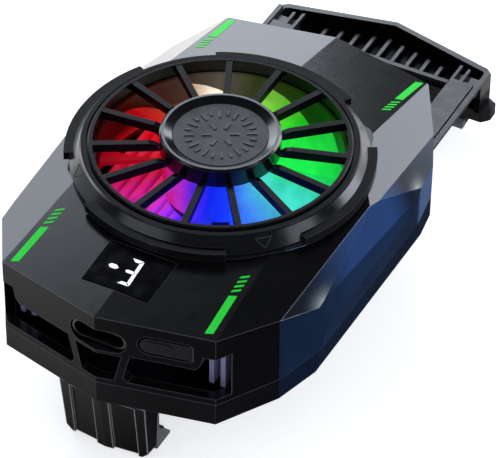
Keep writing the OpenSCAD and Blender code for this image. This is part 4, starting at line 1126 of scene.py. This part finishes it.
# %% [markdown]
# ### Foam frame
# Foam seals the gap round the cold module so that damp air stays out. It is a square frame that bulges a
# little between its two faces. It could be cut out of a block, but rings that go up the outside and down the
# inside, with the last joined to the first, give the bulge too.

# %% Foam frame
SEAL_INNER = 12.6
SEAL_OUTER_CORNER = 1.2
SEAL_INNER_CORNER = 0.8
SEAL_PROFILE = [(0.3, 0.0), (0.0, 0.25), (0.0, 0.75), (0.3, 1.0)]
WELD_DISTANCE = 1e-7

seal_low, seal_high = (Vector(corner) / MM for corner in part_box("foam_seal"))
seal_height = seal_high.z - seal_low.z
loops = []
for inset, share in SEAL_PROFILE:
    z = seal_low.z + seal_height * share
    loops.append(plan_ring(seal_high.x - inset, seal_high.y - inset, z, SEAL_OUTER_CORNER))
for inset, share in reversed(SEAL_PROFILE):
    z = seal_low.z + seal_height * share
    loops.append(plan_ring(SEAL_INNER + inset, SEAL_INNER + inset, z, SEAL_INNER_CORNER))
loops.append(loops[0])
seal = bmesh.new()
swept(seal, loops, closed_ends=False)
bmesh.ops.remove_doubles(seal, verts=seal.verts, dist=WELD_DISTANCE)
dark_foam = moulded("dark_foam", dark=(0.02, 0.02, 0.02), light=(0.05, 0.05, 0.05), rough=0.9, grain_mm=0.15)
foam_frame = new_piece("foam_frame", seal, "housing", dark_foam)
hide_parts("foam_seal")
print("foam frame:", round(seal_height, 2), "mm high")

# %% [markdown]
# ## Springs
# Two coils inside the housing draw the clamp in. A curve with a round profile could make the wire, but rings
# of points along a helix are a plain mesh.

# %% Coils
TURNS = 12
STEPS_PER_TURN = 16
COIL_RADIUS = 1.1
WIRE = 0.42
WIRE_SIDES = 8
LEAD = Vector((0, 1.0, 0))


def coil(name, node):
    """A helix along Y in the box of a CAD spring, with a straight lead at both ends."""
    low, high = (Vector(corner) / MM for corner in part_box(node))
    middle = (low + high) / 2
    length = high.y - low.y
    steps = TURNS * STEPS_PER_TURN
    path = []
    for i in range(steps + 1):
        angle = 2 * math.pi * i / STEPS_PER_TURN
        y = low.y + LEAD.y + (length - 2 * LEAD.y) * i / steps
        path.append(Vector((middle.x + COIL_RADIUS * math.cos(angle), y,
                            middle.z + COIL_RADIUS * math.sin(angle))))
    path = [path[0] - LEAD] + path + [path[-1] + LEAD]
    stations = []
    for i, place in enumerate(path):
        along = (path[min(i + 1, len(path) - 1)] - path[max(i - 1, 0)]).normalized()
        out = Vector((place.x - middle.x, 0, place.z - middle.z)).normalized()
        aside = along.cross(out)
        angles = [2 * math.pi * k / WIRE_SIDES for k in range(WIRE_SIDES)]
        stations.append([place + WIRE / 2 * (math.cos(a) * out + math.sin(a) * aside) for a in angles])
    mesh = bmesh.new()
    swept(mesh, stations)
    piece = new_piece(name, mesh, "housing", bright_steel)
    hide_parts(node)
    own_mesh(piece)


coil("left_coil", "left_spring")
coil("right_coil", "right_spring")

# %% [markdown]
# ## Size
# The solids' box and the dressed object's box are kept side by side, and the dressed one is printed.
# The dressed object may not outgrow the solids.

# %% Finish
sizes = {"cad": [list(map(float, c)) for c in cad_box], "visual": [list(map(float, c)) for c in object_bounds()]}
print("visual box:", sizes["visual"])
